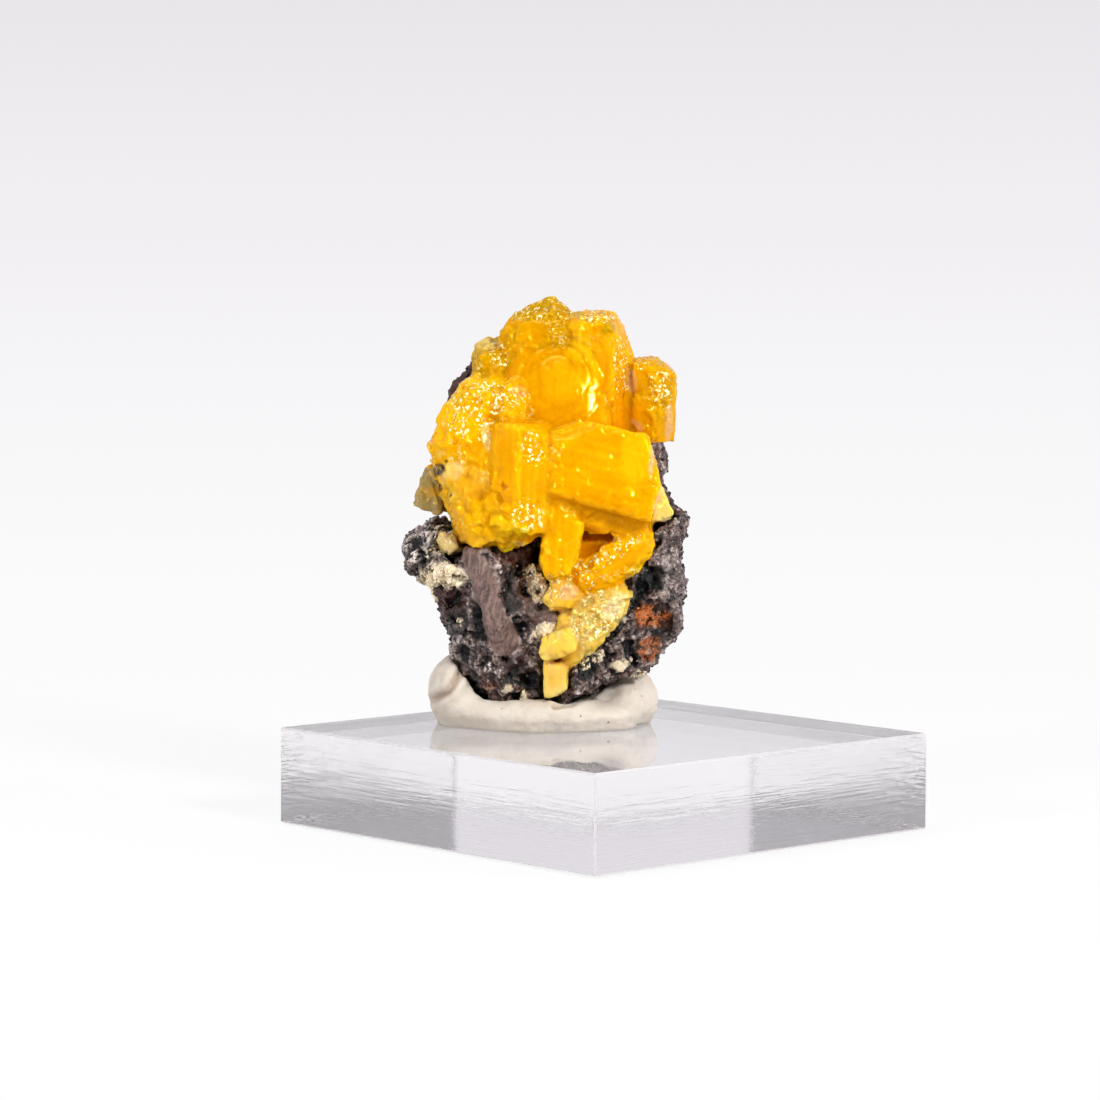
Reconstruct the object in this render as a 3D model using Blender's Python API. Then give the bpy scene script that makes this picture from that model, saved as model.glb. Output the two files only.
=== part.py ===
# Mimetite specimen: a cluster of orange hexagonal crystals on a dark rock matrix, held by a pad of
# putty on a clear acrylic slab.
# Frame: metres, +Z up, origin at the centre of the slab's underside, slab sides along X and Y.
# The specimen's own frame has its origin at the middle of the slab's top, x to the right, y away
# from the viewer and z up. It is turned on the slab, so that the crystals look over one corner.

import itertools
import math

import bmesh
import bpy
from mathutils import Matrix, Vector, noise

MM = 0.001

SLAB_SIDE = 38.0 * MM
SLAB_THICKNESS = 8.0 * MM
SLAB_BEVEL = 0.25 * MM
SPECIMEN_TURN = math.radians(-43.1)

GAP = 0.3 * MM  # between pieces that touch
PYRAMID_ANGLE = math.radians(39.9)  # mimetite's pyramid face, measured from its basal face

ROCK_VOXEL = 0.45 * MM
ROCK_TRIANGLES = 5200
ROCK_GRAIN = ((3.2, 0.75), (1.4, 0.4))  # each size of bump on the rock, and its height
PUTTY_VOXEL = 0.5 * MM
PUTTY_TRIANGLES = 2000
PUTTY_GRAIN = ((4.5, 0.35),)

# The crystals, in millimetres in the specimen's frame. A tablet is given by the outline of its outer
# face as seen from the front, in x and z, with the middle of that face and the way it looks. A prism
# is given by the middle of its end, the way it points, the distance from its axis to its side
# faces, and its turn about its axis. Both have a length back from the outer face and a bevel.
# Further cuts are a point and the way the cut faces.
CRYSTALS = {
    "peak": dict(
        outline=((-8.2, 30.6), (-5.0, 30.5), (-1.1, 31.0), (-1.1, 33.0), (-2.1, 34.3), (-4.0, 36.2),
                 (-5.0, 36.2), (-7.7, 35.0), (-8.8, 33.4), (-9.0, 31.0)),
        centre=(-5.1, 0.3, 32.6), face=(-0.05, -0.95, 0.3), length=6.2, bevel=1.5),
    "right_column": dict(
        tip=(-0.55, 1.2, 34.6), axis=(-0.02, -0.12, 1.0), radius=2.6, length=13, turn=22, bevel=0.7,
        cuts=(((1.1, 1.2, 33.9), (0.93, -0.25, 0.36)),)),
    "dome": dict(
        outline=((-8.2, 23.8), (0.6, 23.8), (0.5, 27.6), (-0.2, 30.0), (-1.9, 31.6), (-4.5, 32.1),
                 (-7.0, 31.5), (-8.2, 29.7), (-8.4, 25.4)),
        centre=(-3.7, -1.0, 28.2), face=(0.03, -0.93, 0.3), length=7.4, bevel=0.7),
    "dome_step": dict(
        outline=((-4.9, 26.0), (-2.5, 25.8), (-0.9, 26.8), (-0.6, 28.6), (-1.3, 30.5), (-2.9, 31.4),
                 (-5.0, 31.1), (-6.2, 29.9), (-6.3, 27.3)),
        centre=(-3.3, -1.6, 28.4), face=(0.03, -0.93, 0.3), length=4, bevel=0.5),
    "dome_eye": dict(
        outline=((-3.7, 27.2), (-2.2, 27.7), (-1.9, 29.2), (-2.7, 30.6), (-4.0, 30.9), (-5.1, 30.1),
                 (-5.3, 28.1)),
        centre=(-3.5, -2.1, 28.9), face=(0.03, -0.93, 0.3), length=4, bevel=0.4),
    "right_prism": dict(
        tip=(4.1, 1.2, 30.8), axis=(0.02, -0.12, 1.0), radius=1.8, length=6.9, turn=4, bevel=0.5,
        cuts=(((4.5, 1.2, 30.7), (0.62, -0.1, 0.75)),)),
    "upper_left": dict(
        outline=((-10.8, 29.1), (-9.7, 28.2), (-8.0, 28.6), (-7.8, 30.9), (-8.7, 31.7),
                 (-10.7, 31.5), (-11.2, 30.4)),
        centre=(-9.5, 0.2, 30.0), face=(-0.2, -0.9, 0.35), length=6, bevel=0.6),
    "upper_left_cap": dict(
        outline=((-9.9, 30.1), (-8.0, 30.4), (-8.1, 32.0), (-9.0, 32.8), (-10.0, 32.8),
                 (-10.9, 32.3), (-11.3, 30.9)),
        centre=(-9.7, 2.2, 31.4), face=(-0.1, -0.8, 0.5), length=5, bevel=0.8),
    "left_tablet": dict(
        outline=((-14.6, 22.5), (-13.6, 21.4), (-8.2, 20.5), (-6.0, 24.3), (-6.4, 28.6),
                 (-7.0, 29.3), (-8.9, 29.4), (-11.2, 29.5), (-12.3, 28.9), (-13.7, 26.5),
                 (-14.9, 23.7)),
        centre=(-9.9, -3.2, 24.5), face=(-0.12, -0.95, 0.22), length=9, axis=(0.15, 0.98, 0.0),
        bevel=1.7),
    "left_tablet_bud": dict(
        outline=((-8.4, 26.1), (-7.6, 25.6), (-6.4, 26.3), (-6.3, 28.3), (-6.8, 29.3), (-8.3, 29.0),
                 (-8.6, 27.3)),
        centre=(-7.5, -3.4, 27.3), face=(0.15, -0.85, 0.45), length=5, bevel=0.6),
    "front_prism": dict(
        tip=(-6.85, -3.2, 25.7), axis=(0.0, 0.03, 1.0), radius=2.3, length=9.0, turn=-4, bevel=0.35),
    "lower_left": dict(
        outline=((-11.1, 15.5), (-10.0, 15.3), (-7.9, 16.1), (-8.6, 21.8), (-12.5, 22.9),
                 (-13.4, 22.3)),
        centre=(-11.0, -3.4, 18.9), face=(-0.1, -0.98, 0.03), length=3.4, axis=(-0.3, 0.95, 0.02),
        bevel=0.3),
    "lower_middle": dict(
        outline=((-11.7, 16.0), (-11.3, 15.3), (-10.2, 15.2), (-8.7, 14.6), (-8.1, 14.7),
                 (-7.2, 15.2), (-6.0, 15.2), (-5.2, 16.4), (-5.2, 20.2), (-8.6, 21.2),
                 (-11.4, 19.7), (-12.2, 17.7)),
        centre=(-8.7, -3.9, 17.7), face=(-0.05, -0.97, -0.05), length=8, bevel=1.2),
    "big_tablet": dict(
        outline=((-4.6, 20.0), (3.8, 17.6), (4.6, 20.7), (4.2, 22.7), (3.5, 24.8), (-1.8, 26.0),
                 (-4.4, 25.2)),
        centre=(-0.0, -4.6, 22.5), face=(0.05, -0.97, 0.15), length=9, bevel=0.25),
    "small_prism": dict(
        outline=((-5.2, 14.4), (-4.7, 12.9), (-2.8, 13.2), (-2.0, 14.9), (-1.7, 17.6), (-2.7, 18.7),
                 (-3.8, 19.4), (-4.6, 19.2)),
        centre=(-3.7, -4.9, 16.2), face=(0.05, -0.97, 0.1), length=6, bevel=0.3),
    "small_block": dict(
        outline=((-4.4, 10.7), (-3.4, 10.7), (-2.0, 11.6), (-2.7, 12.7), (-3.6, 13.4), (-4.6, 12.7),
                 (-5.3, 11.3)),
        centre=(-3.6, -4.9, 11.9), face=(-0.1, -0.9, 0.2), length=6, bevel=0.4),
    "right_wing": dict(
        outline=((-2.1, 11.0), (-0.5, 11.0), (0.6, 11.7), (2.4, 12.7), (3.8, 14.3), (4.5, 15.5),
                 (4.3, 16.5), (3.4, 17.3), (0.6, 15.7), (-2.0, 14.1), (-3.1, 12.8)),
        centre=(0.9, -3.4, 13.6), face=(0.15, -0.95, -0.2), length=6, bevel=0.8),
    "right_hollow": dict(
        outline=((0.6, 14.7), (4.1, 16.3), (3.8, 18.0), (-0.3, 18.7), (-2.0, 16.7), (-2.7, 13.6)),
        centre=(0.6, -1.6, 16.4), face=(-0.15, -0.75, 0.6), length=5, bevel=0.1),
    "long_prism": dict(
        outline=((-3.4, 10.2), (-3.9, 8.5), (-4.0, 6.9), (-2.6, 5.2), (-0.3, 7.2), (1.2, 8.7),
                 (2.4, 11.3), (1.9, 12.5), (-0.4, 11.7), (-2.2, 11.2)),
        centre=(-0.7, -3.6, 9.1), face=(0.1, -0.95, -0.05), length=6, bevel=0.7),
    "long_prism_end": dict(
        outline=((-5.4, 6.6), (-4.7, 5.9), (-3.6, 6.5), (-2.4, 7.0), (-2.6, 8.9), (-3.9, 8.7),
                 (-5.2, 7.9)),
        centre=(-3.9, -4.3, 7.4), face=(-0.25, -0.95, -0.1), length=5, bevel=0.15),
    "foot_prism": dict(
        outline=((-5.1, 4.5), (-5.0, 2.8), (-3.9, 3.0), (-2.9, 3.7), (-2.9, 5.7), (-5.0, 6.2)),
        centre=(-3.9, -3.2, 4.4), face=(-0.1, -0.98, -0.05), length=4, bevel=0.3),
    "right_chip": dict(
        outline=((4.1, 17.4), (5.7, 17.6), (5.9, 18.2), (4.6, 20.9), (4.1, 21.1)),
        centre=(4.7, -1.5, 18.6), face=(0.3, -0.93, 0.1), length=4, bevel=0.2),
    "heart": dict(
        outline=((-10.3, 29.7), (-12.8, 26.4), (-12.8, 20.6), (-9.4, 16.5), (-3.6, 12.8),
                 (3.0, 16.5), (3.8, 20.7), (2.9, 28.2), (-0.4, 32.3), (-7.9, 31.8)),
        centre=(-4.1, 1.5, 24.0), face=(0, -1, 0), length=5, bevel=0.2),
}
SMALL_CRYSTALS = {
    "side_crystal": dict(
        outline=((-14.7, 22.0), (-15.2, 20.8), (-15.8, 19.4), (-15.9, 18.6), (-15.2, 18.2),
                 (-13.7, 18.0), (-13.1, 19.0), (-13.2, 20.7), (-13.9, 21.7)),
        centre=(-14.7, 0.7, 20.0), face=(-0.3, -0.93, 0.05), length=4, bevel=0.4),
    "ledge_crystal": dict(
        outline=((-13.5, 15.2), (-12.7, 14.8), (-11.7, 15.4), (-11.9, 16.0), (-12.5, 16.7),
                 (-13.2, 17.2), (-13.5, 16.6), (-14.1, 16.7)),
        centre=(-12.8, -1.6, 15.9), face=(-0.1, -0.95, 0.25), length=3, bevel=0.3),
}

# The rock: slabs given like the tablets above, then lumps with their centre and half sizes along x, y
# and z, then smooth rods with two ends and a radius, then pits given like the lumps.
ROCK_SLABS = {
    "body": dict(
        outline=((-14.8, 14.2), (-14.0, 10.8), (-12.8, 7.6), (-11.7, 4.8), (-10.3, 3.2),
                 (-8.7, 2.0), (-7.2, 1.6), (-4.8, 1.8), (-2.4, 2.6), (0.9, 4.0), (3.4, 5.0),
                 (4.8, 6.5), (5.9, 8.1), (6.7, 11.1), (6.7, 17.7), (5.2, 19.5), (1.3, 19.3),
                 (-10.2, 16.3), (-13.5, 15.9)),
        centre=(-4.0, -2.0, 11.0), face=(0, -1, 0), length=9.5, bevel=1.9),
    "back_wall": dict(
        outline=((-13.2, 22.9), (-11.2, 15.4), (3.1, 15.4), (5.4, 18.8), (4.9, 22.8), (3.2, 26.7),
                 (-0.4, 31.2), (-8.7, 31.1), (-11.5, 30.4), (-12.6, 28.4)),
        centre=(-3.7, 5.0, 22.9), face=(0, -1, 0), length=3.6, bevel=1.0),
}
ROCK_LUMPS = {
    "left_ledge": ((-13.1, 3.4, 14.1), (3.6, 4.4, 3.1)),
    "left_shoulder": ((-11.6, 0.6, 13.6), (2.6, 2.6, 2.4)),
    "right_flank": ((3.2, 5.4, 13.0), (3.7, 6.0, 7.2)),
    "bottom_lump": ((-5.6, -0.2, 4.9), (1.3, 1.3, 1.9)),
    "crystal_foot": ((-3.0, -0.6, 5.6), (2.6, 2.4, 3.0)),
    "back_low": ((-4.4, 7.0, 10.0), (9.6, 5.6, 8.2)),
    "back_high": ((-3.8, 7.8, 21.2), (8.2, 3.8, 9.0)),
    "back_ridge": ((-7.0, 10.0, 15.0), (4.2, 3.0, 7.4)),
    "back_knob": ((0.8, 10.2, 17.5), (3.2, 2.6, 4.6)),
}
ROCK_RODS = {
    "left_rod": ((-10.8, -2.2, 15.6), (-8.2, -2.3, 7.6), 1.3),
    "diagonal_bar": ((-7.2, -2.4, 11.3), (-3.5, -2.7, 9.0), 1.0),
}
ROCK_PITS = {
    "left_pit": ((-13.2, -1.0, 10.9), (1.8, 1.7, 1.7)),
    "middle_pit": ((-6.1, -2.3, 14.3), (2.2, 1.5, 0.9)),
    "black_pit": ((-6.5, -2.2, 11.6), (1.0, 1.2, 0.7)),
    "right_pit": ((4.9, -0.4, 12.4), (0.55, 1.0, 0.8)),
    "rusty_pit": ((4.7, -0.6, 8.6), (1.2, 1.0, 1.9)),
    "ledge_hollow": ((-13.6, 0.0, 16.9), (1.2, 1.2, 0.7)),
}

# The putty's lumps, given like the rock's.
PUTTY_LUMPS = {
    "pad": ((-4.9, 5.0, 1.3), (9.7, 8.4, 2.35)),
    "left_roll": ((-12.0, 4.4, 3.3), (2.6, 4.6, 2.8)),
    "right_roll": ((1.9, 5.4, 2.2), (2.8, 5.0, 2.3)),
    "back_roll": ((-5.0, 10.5, 2.6), (7.0, 3.2, 2.6)),
}


def link(name, mesh):
    made = bpy.data.objects.new(name, mesh)
    bpy.context.scene.collection.objects.link(made)
    return made


def principled(name, colour, roughness, transmission=0.0, ior=1.5):
    made = bpy.data.materials.new(name)
    made.use_nodes = True
    shader = made.node_tree.nodes["Principled BSDF"]
    shader.inputs["Base Color"].default_value = (*colour, 1.0)
    shader.inputs["Roughness"].default_value = roughness
    shader.inputs["Transmission Weight"].default_value = transmission
    shader.inputs["IOR"].default_value = ior
    return made


def prism_planes(tip, axis, radius, length, turn, bevel, cuts=()):
    out = Vector(axis).normalized()
    side = Vector((1, 0, 0)) - out * out.x
    side.normalize()
    up = out.cross(side)
    tip = Vector(tip)
    planes = [(tip, out), (tip - out * length, -out)]
    s, c = math.sin(PYRAMID_ANGLE), math.cos(PYRAMID_ANGLE)
    for k in range(6):
        a = math.radians(60 * k + turn)
        normal = side * math.cos(a) + up * math.sin(a)
        planes.append((tip + normal * radius, normal))
        planes.append((tip + normal * (radius - bevel), normal * s + out * c))
    for point, normal in cuts:
        planes.append((Vector(point), Vector(normal).normalized()))
    return planes


def tablet_planes(outline, centre, face, length, bevel, axis=None):
    out = Vector(face).normalized()
    centre = Vector(centre)
    back = -out if axis is None else Vector(axis).normalized()
    corners = []
    for x, z in outline:
        y = centre.y - (out.x * (x - centre.x) + out.z * (z - centre.z)) / out.y
        corners.append(Vector((x, y, z)))
    planes = [(centre, out), (centre - out * length, -out)]
    s, c = math.sin(PYRAMID_ANGLE), math.cos(PYRAMID_ANGLE)
    for here, there in zip(corners, corners[1:] + corners[:1]):
        normal = (there - here).cross(-back).normalized()
        inward = (there - here).cross(out).normalized()
        planes.append((here, normal))
        planes.append((here - inward * bevel, (inward * s + out * c).normalized()))
    return planes


def solid_from_planes(name, planes, grow):
    # The solid inside all the planes: its corners are where three planes meet and no other cuts off.
    normals = [normal for _, normal in planes]
    distances = [normal.dot(point) + grow for point, normal in planes]
    corners = []
    for i, j, k in itertools.combinations(range(len(planes)), 3):
        meet = Matrix((normals[i], normals[j], normals[k]))
        if abs(meet.determinant()) < 1e-6:
            continue
        corner = meet.inverted() @ Vector((distances[i], distances[j], distances[k]))
        if all(n.dot(corner) <= d + 1e-4 for n, d in zip(normals, distances)):
            if all((corner - other).length > 1e-3 for other in corners):
                corners.append(corner)
    bm = bmesh.new()
    for corner in corners:
        bm.verts.new(corner * MM)
    bmesh.ops.convex_hull(bm, input=bm.verts[:])
    bmesh.ops.dissolve_limit(bm, angle_limit=math.radians(0.5), verts=bm.verts[:], edges=bm.edges[:])
    mesh = bpy.data.meshes.new(name)
    bm.to_mesh(mesh)
    bm.free()
    return link(name, mesh)


def crystal(name, shape, grow=0.0):
    planes = tablet_planes(**shape) if "outline" in shape else prism_planes(**shape)
    return solid_from_planes(name, planes, grow)


def hide_guide(guide):
    guide.hide_render = True
    guide.display_type = "WIRE"
    return guide


def guide_collection(name, guides):
    made = bpy.data.collections.new(name)
    bpy.context.scene.collection.children.link(made)
    for guide in guides:
        made.objects.link(hide_guide(guide))
    return made


def boolean(target, operation, collection):
    cut = target.modifiers.new(collection.name, "BOOLEAN")
    cut.operation = operation
    cut.solver = "EXACT"
    cut.operand_type = "COLLECTION"
    cut.collection = collection


def grown_together(name, shapes, grow, parent):
    pieces = [crystal("grown_" + key, shape, grow) for key, shape in shapes.items()]
    for piece in pieces:
        piece.parent = parent
    whole = pieces.pop(0)
    whole.name = name
    boolean(whole, "UNION", guide_collection("grown_into_" + name, pieces))
    bake(whole)
    return whole


def ellipsoid(name, centre, half, parent, subdivisions=3):
    bm = bmesh.new()
    place = Matrix.Translation(Vector(centre) * MM) @ Matrix.Diagonal((*(Vector(half) * MM), 1.0))
    bmesh.ops.create_icosphere(bm, subdivisions=subdivisions, radius=1.0, matrix=place)
    mesh = bpy.data.meshes.new(name)
    bm.to_mesh(mesh)
    bm.free()
    made = link(name, mesh)
    made.parent = parent
    return made


def rod(name, start, end, radius, parent):
    start, end = Vector(start) * MM, Vector(end) * MM
    turned = (end - start).to_track_quat("Z", "Y").to_matrix().to_4x4()
    half = Vector((radius * MM, radius * MM, (end - start).length * 0.5 + radius * MM * 0.6))
    bm = bmesh.new()
    bmesh.ops.create_icosphere(bm, subdivisions=4, radius=1.0)
    for vert in bm.verts:
        vert.co.z = math.copysign(abs(vert.co.z) ** 0.6, vert.co.z)
    place = Matrix.Translation((start + end) * 0.5) @ turned @ Matrix.Diagonal((*half, 1.0))
    bmesh.ops.transform(bm, matrix=place, verts=bm.verts)
    mesh = bpy.data.meshes.new(name)
    bm.to_mesh(mesh)
    bm.free()
    made = link(name, mesh)
    made.parent = parent
    return made


def evaluated_mesh(made):
    bpy.context.view_layer.update()
    depsgraph = bpy.context.evaluated_depsgraph_get()
    return bpy.data.meshes.new_from_object(made.evaluated_get(depsgraph))


def joined(name, pieces, parent):
    bm = bmesh.new()
    for piece in pieces:
        bm.from_mesh(piece.data)
        bpy.data.objects.remove(piece)
    mesh = bpy.data.meshes.new(name)
    bm.to_mesh(mesh)
    bm.free()
    made = link(name, mesh)
    made.parent = parent
    return made


def bake(made):
    # The shape is fixed as it stands, without loose crumbs and closed hollows.
    mesh = evaluated_mesh(made)
    made.modifiers.clear()
    bm = bmesh.new()
    bm.from_mesh(mesh)
    islands = []
    waiting = set(bm.verts)
    while waiting:
        island = []
        reached = [waiting.pop()]
        while reached:
            vert = reached.pop()
            island.append(vert)
            for edge in vert.link_edges:
                other = edge.other_vert(vert)
                if other in waiting:
                    waiting.remove(other)
                    reached.append(other)
        islands.append(island)
    islands.sort(key=len)
    for island in islands[:-1]:
        bmesh.ops.delete(bm, geom=island, context="VERTS")
    bm.to_mesh(mesh)
    bm.free()
    made.data = mesh


def push_along_normals(mesh, distance):
    normals = [vert.normal.copy() for vert in mesh.vertices]
    for vert, normal in zip(mesh.vertices, normals):
        vert.co += normal * distance(vert.co)


def skin(made, voxel, smoothing=0):
    remesh = made.modifiers.new("skin", "REMESH")
    remesh.mode = "VOXEL"
    remesh.voxel_size = voxel
    smooth = made.modifiers.new("smooth", "SMOOTH")
    smooth.factor = 0.5
    smooth.iterations = smoothing
    bake(made)


def roughen(made, grain, voxel, triangles):
    def bumps(co):
        return sum(height * noise.noise(co / MM / size) for size, height in grain) * MM

    push_along_normals(made.data, bumps)
    skin(made, voxel, 1)
    fewer = made.modifiers.new("fewer", "DECIMATE")
    fewer.ratio = triangles / (2 * len(made.data.polygons))
    bake(made)


def make_rock(parent):
    pieces = [solid_from_planes(name, tablet_planes(**shape), 0.0) for name, shape in ROCK_SLABS.items()]
    pieces += [ellipsoid(name, *shape, None) for name, shape in ROCK_LUMPS.items()]
    pieces += [rod(name, *shape, None) for name, shape in ROCK_RODS.items()]
    rock = joined("matrix", pieces, parent)
    pits = [ellipsoid("pit_" + name, *shape, parent) for name, shape in ROCK_PITS.items()]
    skin(rock, ROCK_VOXEL, 6)
    boolean(rock, "DIFFERENCE", guide_collection("pits", pits))
    skin(rock, ROCK_VOXEL, 2)
    roughen(rock, ROCK_GRAIN, ROCK_VOXEL, ROCK_TRIANGLES)
    return rock


def make_putty(rock, parent):
    pieces = [ellipsoid(name, *shape, None) for name, shape in PUTTY_LUMPS.items()]
    putty = joined("putty_pad", pieces, parent)
    skin(putty, PUTTY_VOXEL, 6)
    roughen(putty, PUTTY_GRAIN, PUTTY_VOXEL, PUTTY_TRIANGLES)
    under = ellipsoid("under_putty", (0, 0, 0), (1, 1, 1), parent)
    bm = bmesh.new()
    bmesh.ops.create_cube(bm, size=60 * MM, matrix=Matrix.Translation((0, 0, GAP - 30 * MM)))
    bm.to_mesh(under.data)
    bm.free()
    imprint = link("imprint", rock.data.copy())
    imprint.parent = parent
    push_along_normals(imprint.data, lambda co: GAP * 1.15)
    boolean(putty, "DIFFERENCE", guide_collection("putty_cutters", [under, imprint]))
    bake(putty)
    return putty


def make_slab():
    bm = bmesh.new()
    size = Vector((SLAB_SIDE, SLAB_SIDE, SLAB_THICKNESS))
    place = Matrix.Translation((0, 0, SLAB_THICKNESS * 0.5)) @ Matrix.Diagonal((*size, 1.0))
    bmesh.ops.create_cube(bm, size=1.0, matrix=place)
    bmesh.ops.bevel(bm, geom=bm.edges[:], offset=SLAB_BEVEL, segments=2, profile=0.5, affect="EDGES")
    mesh = bpy.data.meshes.new("acrylic_slab")
    bm.to_mesh(mesh)
    bm.free()
    return link("acrylic_slab", mesh)


def main():
    for old in list(bpy.data.objects):
        bpy.data.objects.remove(old)
    turn = bpy.data.objects.new("specimen_turn", None)
    bpy.context.scene.collection.objects.link(turn)
    turn.location.z = SLAB_THICKNESS
    turn.rotation_euler.z = SPECIMEN_TURN
    orange = principled("mimetite", (0.9, 0.42, 0.02), 0.3, transmission=0.15, ior=2.1)
    pale = principled("pale_mimetite", (0.72, 0.55, 0.2), 0.3, transmission=0.3, ior=2.1)
    stone = principled("limonite", (0.09, 0.06, 0.055), 0.75)
    white = principled("putty", (0.78, 0.73, 0.66), 0.7)
    clear = principled("acrylic", (0.95, 0.95, 0.97), 0.03, transmission=1.0, ior=1.49)

    cluster = grown_together("crystal_cluster", CRYSTALS, 0.0, turn)
    socket = grown_together("cluster_socket", CRYSTALS, GAP / MM, turn)
    cluster_socket = guide_collection("cluster", [socket])
    small_sockets = []
    small_crystals = []
    for name, shape in SMALL_CRYSTALS.items():
        small = crystal(name, shape)
        small.parent = turn
        boolean(small, "DIFFERENCE", cluster_socket)
        bake(small)
        small_crystals.append(small)
        small_sockets.append(crystal(name + "_socket", shape, GAP / MM))
        small_sockets[-1].parent = turn
    rock = make_rock(turn)
    putty = make_putty(rock, turn)
    boolean(rock, "DIFFERENCE", cluster_socket)
    boolean(rock, "DIFFERENCE", guide_collection("small", small_sockets))
    bake(rock)
    slab = make_slab()
    finishes = {orange: [cluster], pale: small_crystals, stone: [rock], white: [putty], clear: [slab]}
    for finish, pieces in finishes.items():
        for piece in pieces:
            piece.data.materials.append(finish)


main()
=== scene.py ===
import itertools
import math

import bmesh
import bpy
import numpy as np
from mathutils import Matrix, Vector, noise


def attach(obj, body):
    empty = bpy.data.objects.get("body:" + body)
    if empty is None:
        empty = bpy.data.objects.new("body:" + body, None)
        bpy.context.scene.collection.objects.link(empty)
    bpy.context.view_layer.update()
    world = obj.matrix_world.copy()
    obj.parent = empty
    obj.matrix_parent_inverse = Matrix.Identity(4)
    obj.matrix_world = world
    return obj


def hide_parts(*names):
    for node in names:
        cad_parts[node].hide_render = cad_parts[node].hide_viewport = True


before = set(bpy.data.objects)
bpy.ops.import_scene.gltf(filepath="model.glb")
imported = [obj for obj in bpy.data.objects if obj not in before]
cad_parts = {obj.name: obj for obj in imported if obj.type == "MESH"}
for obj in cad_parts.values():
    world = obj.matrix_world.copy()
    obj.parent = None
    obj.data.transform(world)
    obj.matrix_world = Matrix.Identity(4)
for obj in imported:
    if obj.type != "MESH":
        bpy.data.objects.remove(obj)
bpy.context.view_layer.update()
print("frame loaded:", ", ".join(sorted(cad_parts)))

# The specimen's own frame: millimetres, x to the right, y away from the viewer, z up, its origin in the
# middle of the slab's top. Places on its front are given as x and height in the front view.
stand = {
    "turn": math.radians(-43.1),  # of this frame against the slab's sides
    "slabTop": 8.0,
    "viewDown": 4.72,  # degrees that the camera looks down
}
turnMatrix = np.array(Matrix.Rotation(stand["turn"], 3, "Z"))


def toPart(places):
    return (places @ turnMatrix.T + (0, 0, stand["slabTop"])) * 0.001


def toSpecimen(places):
    return (places * 1000.0 - (0, 0, stand["slabTop"])) @ turnMatrix


def unit(vector):
    return np.array(vector, float) / np.linalg.norm(vector)


def linear(hexCode):
    channels = [int(hexCode[i:i + 2], 16) / 255 for i in (1, 3, 5)]
    return (*[c / 12.92 if c <= 0.04045 else ((c + 0.055) / 1.055) ** 2.4 for c in channels], 1.0)


def addNode(tree, kind, sockets=None, **settings):
    node = tree.nodes.new(kind)
    for name, value in settings.items():
        setattr(node, name, value)
    for name, value in (sockets or {}).items():
        if isinstance(value, bpy.types.NodeSocket):
            tree.links.new(value, node.inputs[name])
        else:
            node.inputs[name].default_value = value
    return node


def blankMaterial(name):
    material = bpy.data.materials.new(name)
    material.use_nodes = True
    tree = material.node_tree
    tree.nodes.clear()
    return material, tree


def layered(tree, base, layers):
    # lays colours over a base one by one, each through its own mask
    for colour, mask in layers:
        base = addNode(tree, "ShaderNodeMix", {0: mask, 6: base, 7: colour}, data_type="RGBA").outputs[2]
    return base


def finish(tree, shader):
    addNode(tree, "ShaderNodeOutputMaterial", {"Surface": shader})


# what each crystal piece has a mask for, and its material reads
crystalMasks = ("glitter", "lemon", "deep", "olive", "pale", "paintedPinkSheen", "dirt", "seamGrooveAndShade")


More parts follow.
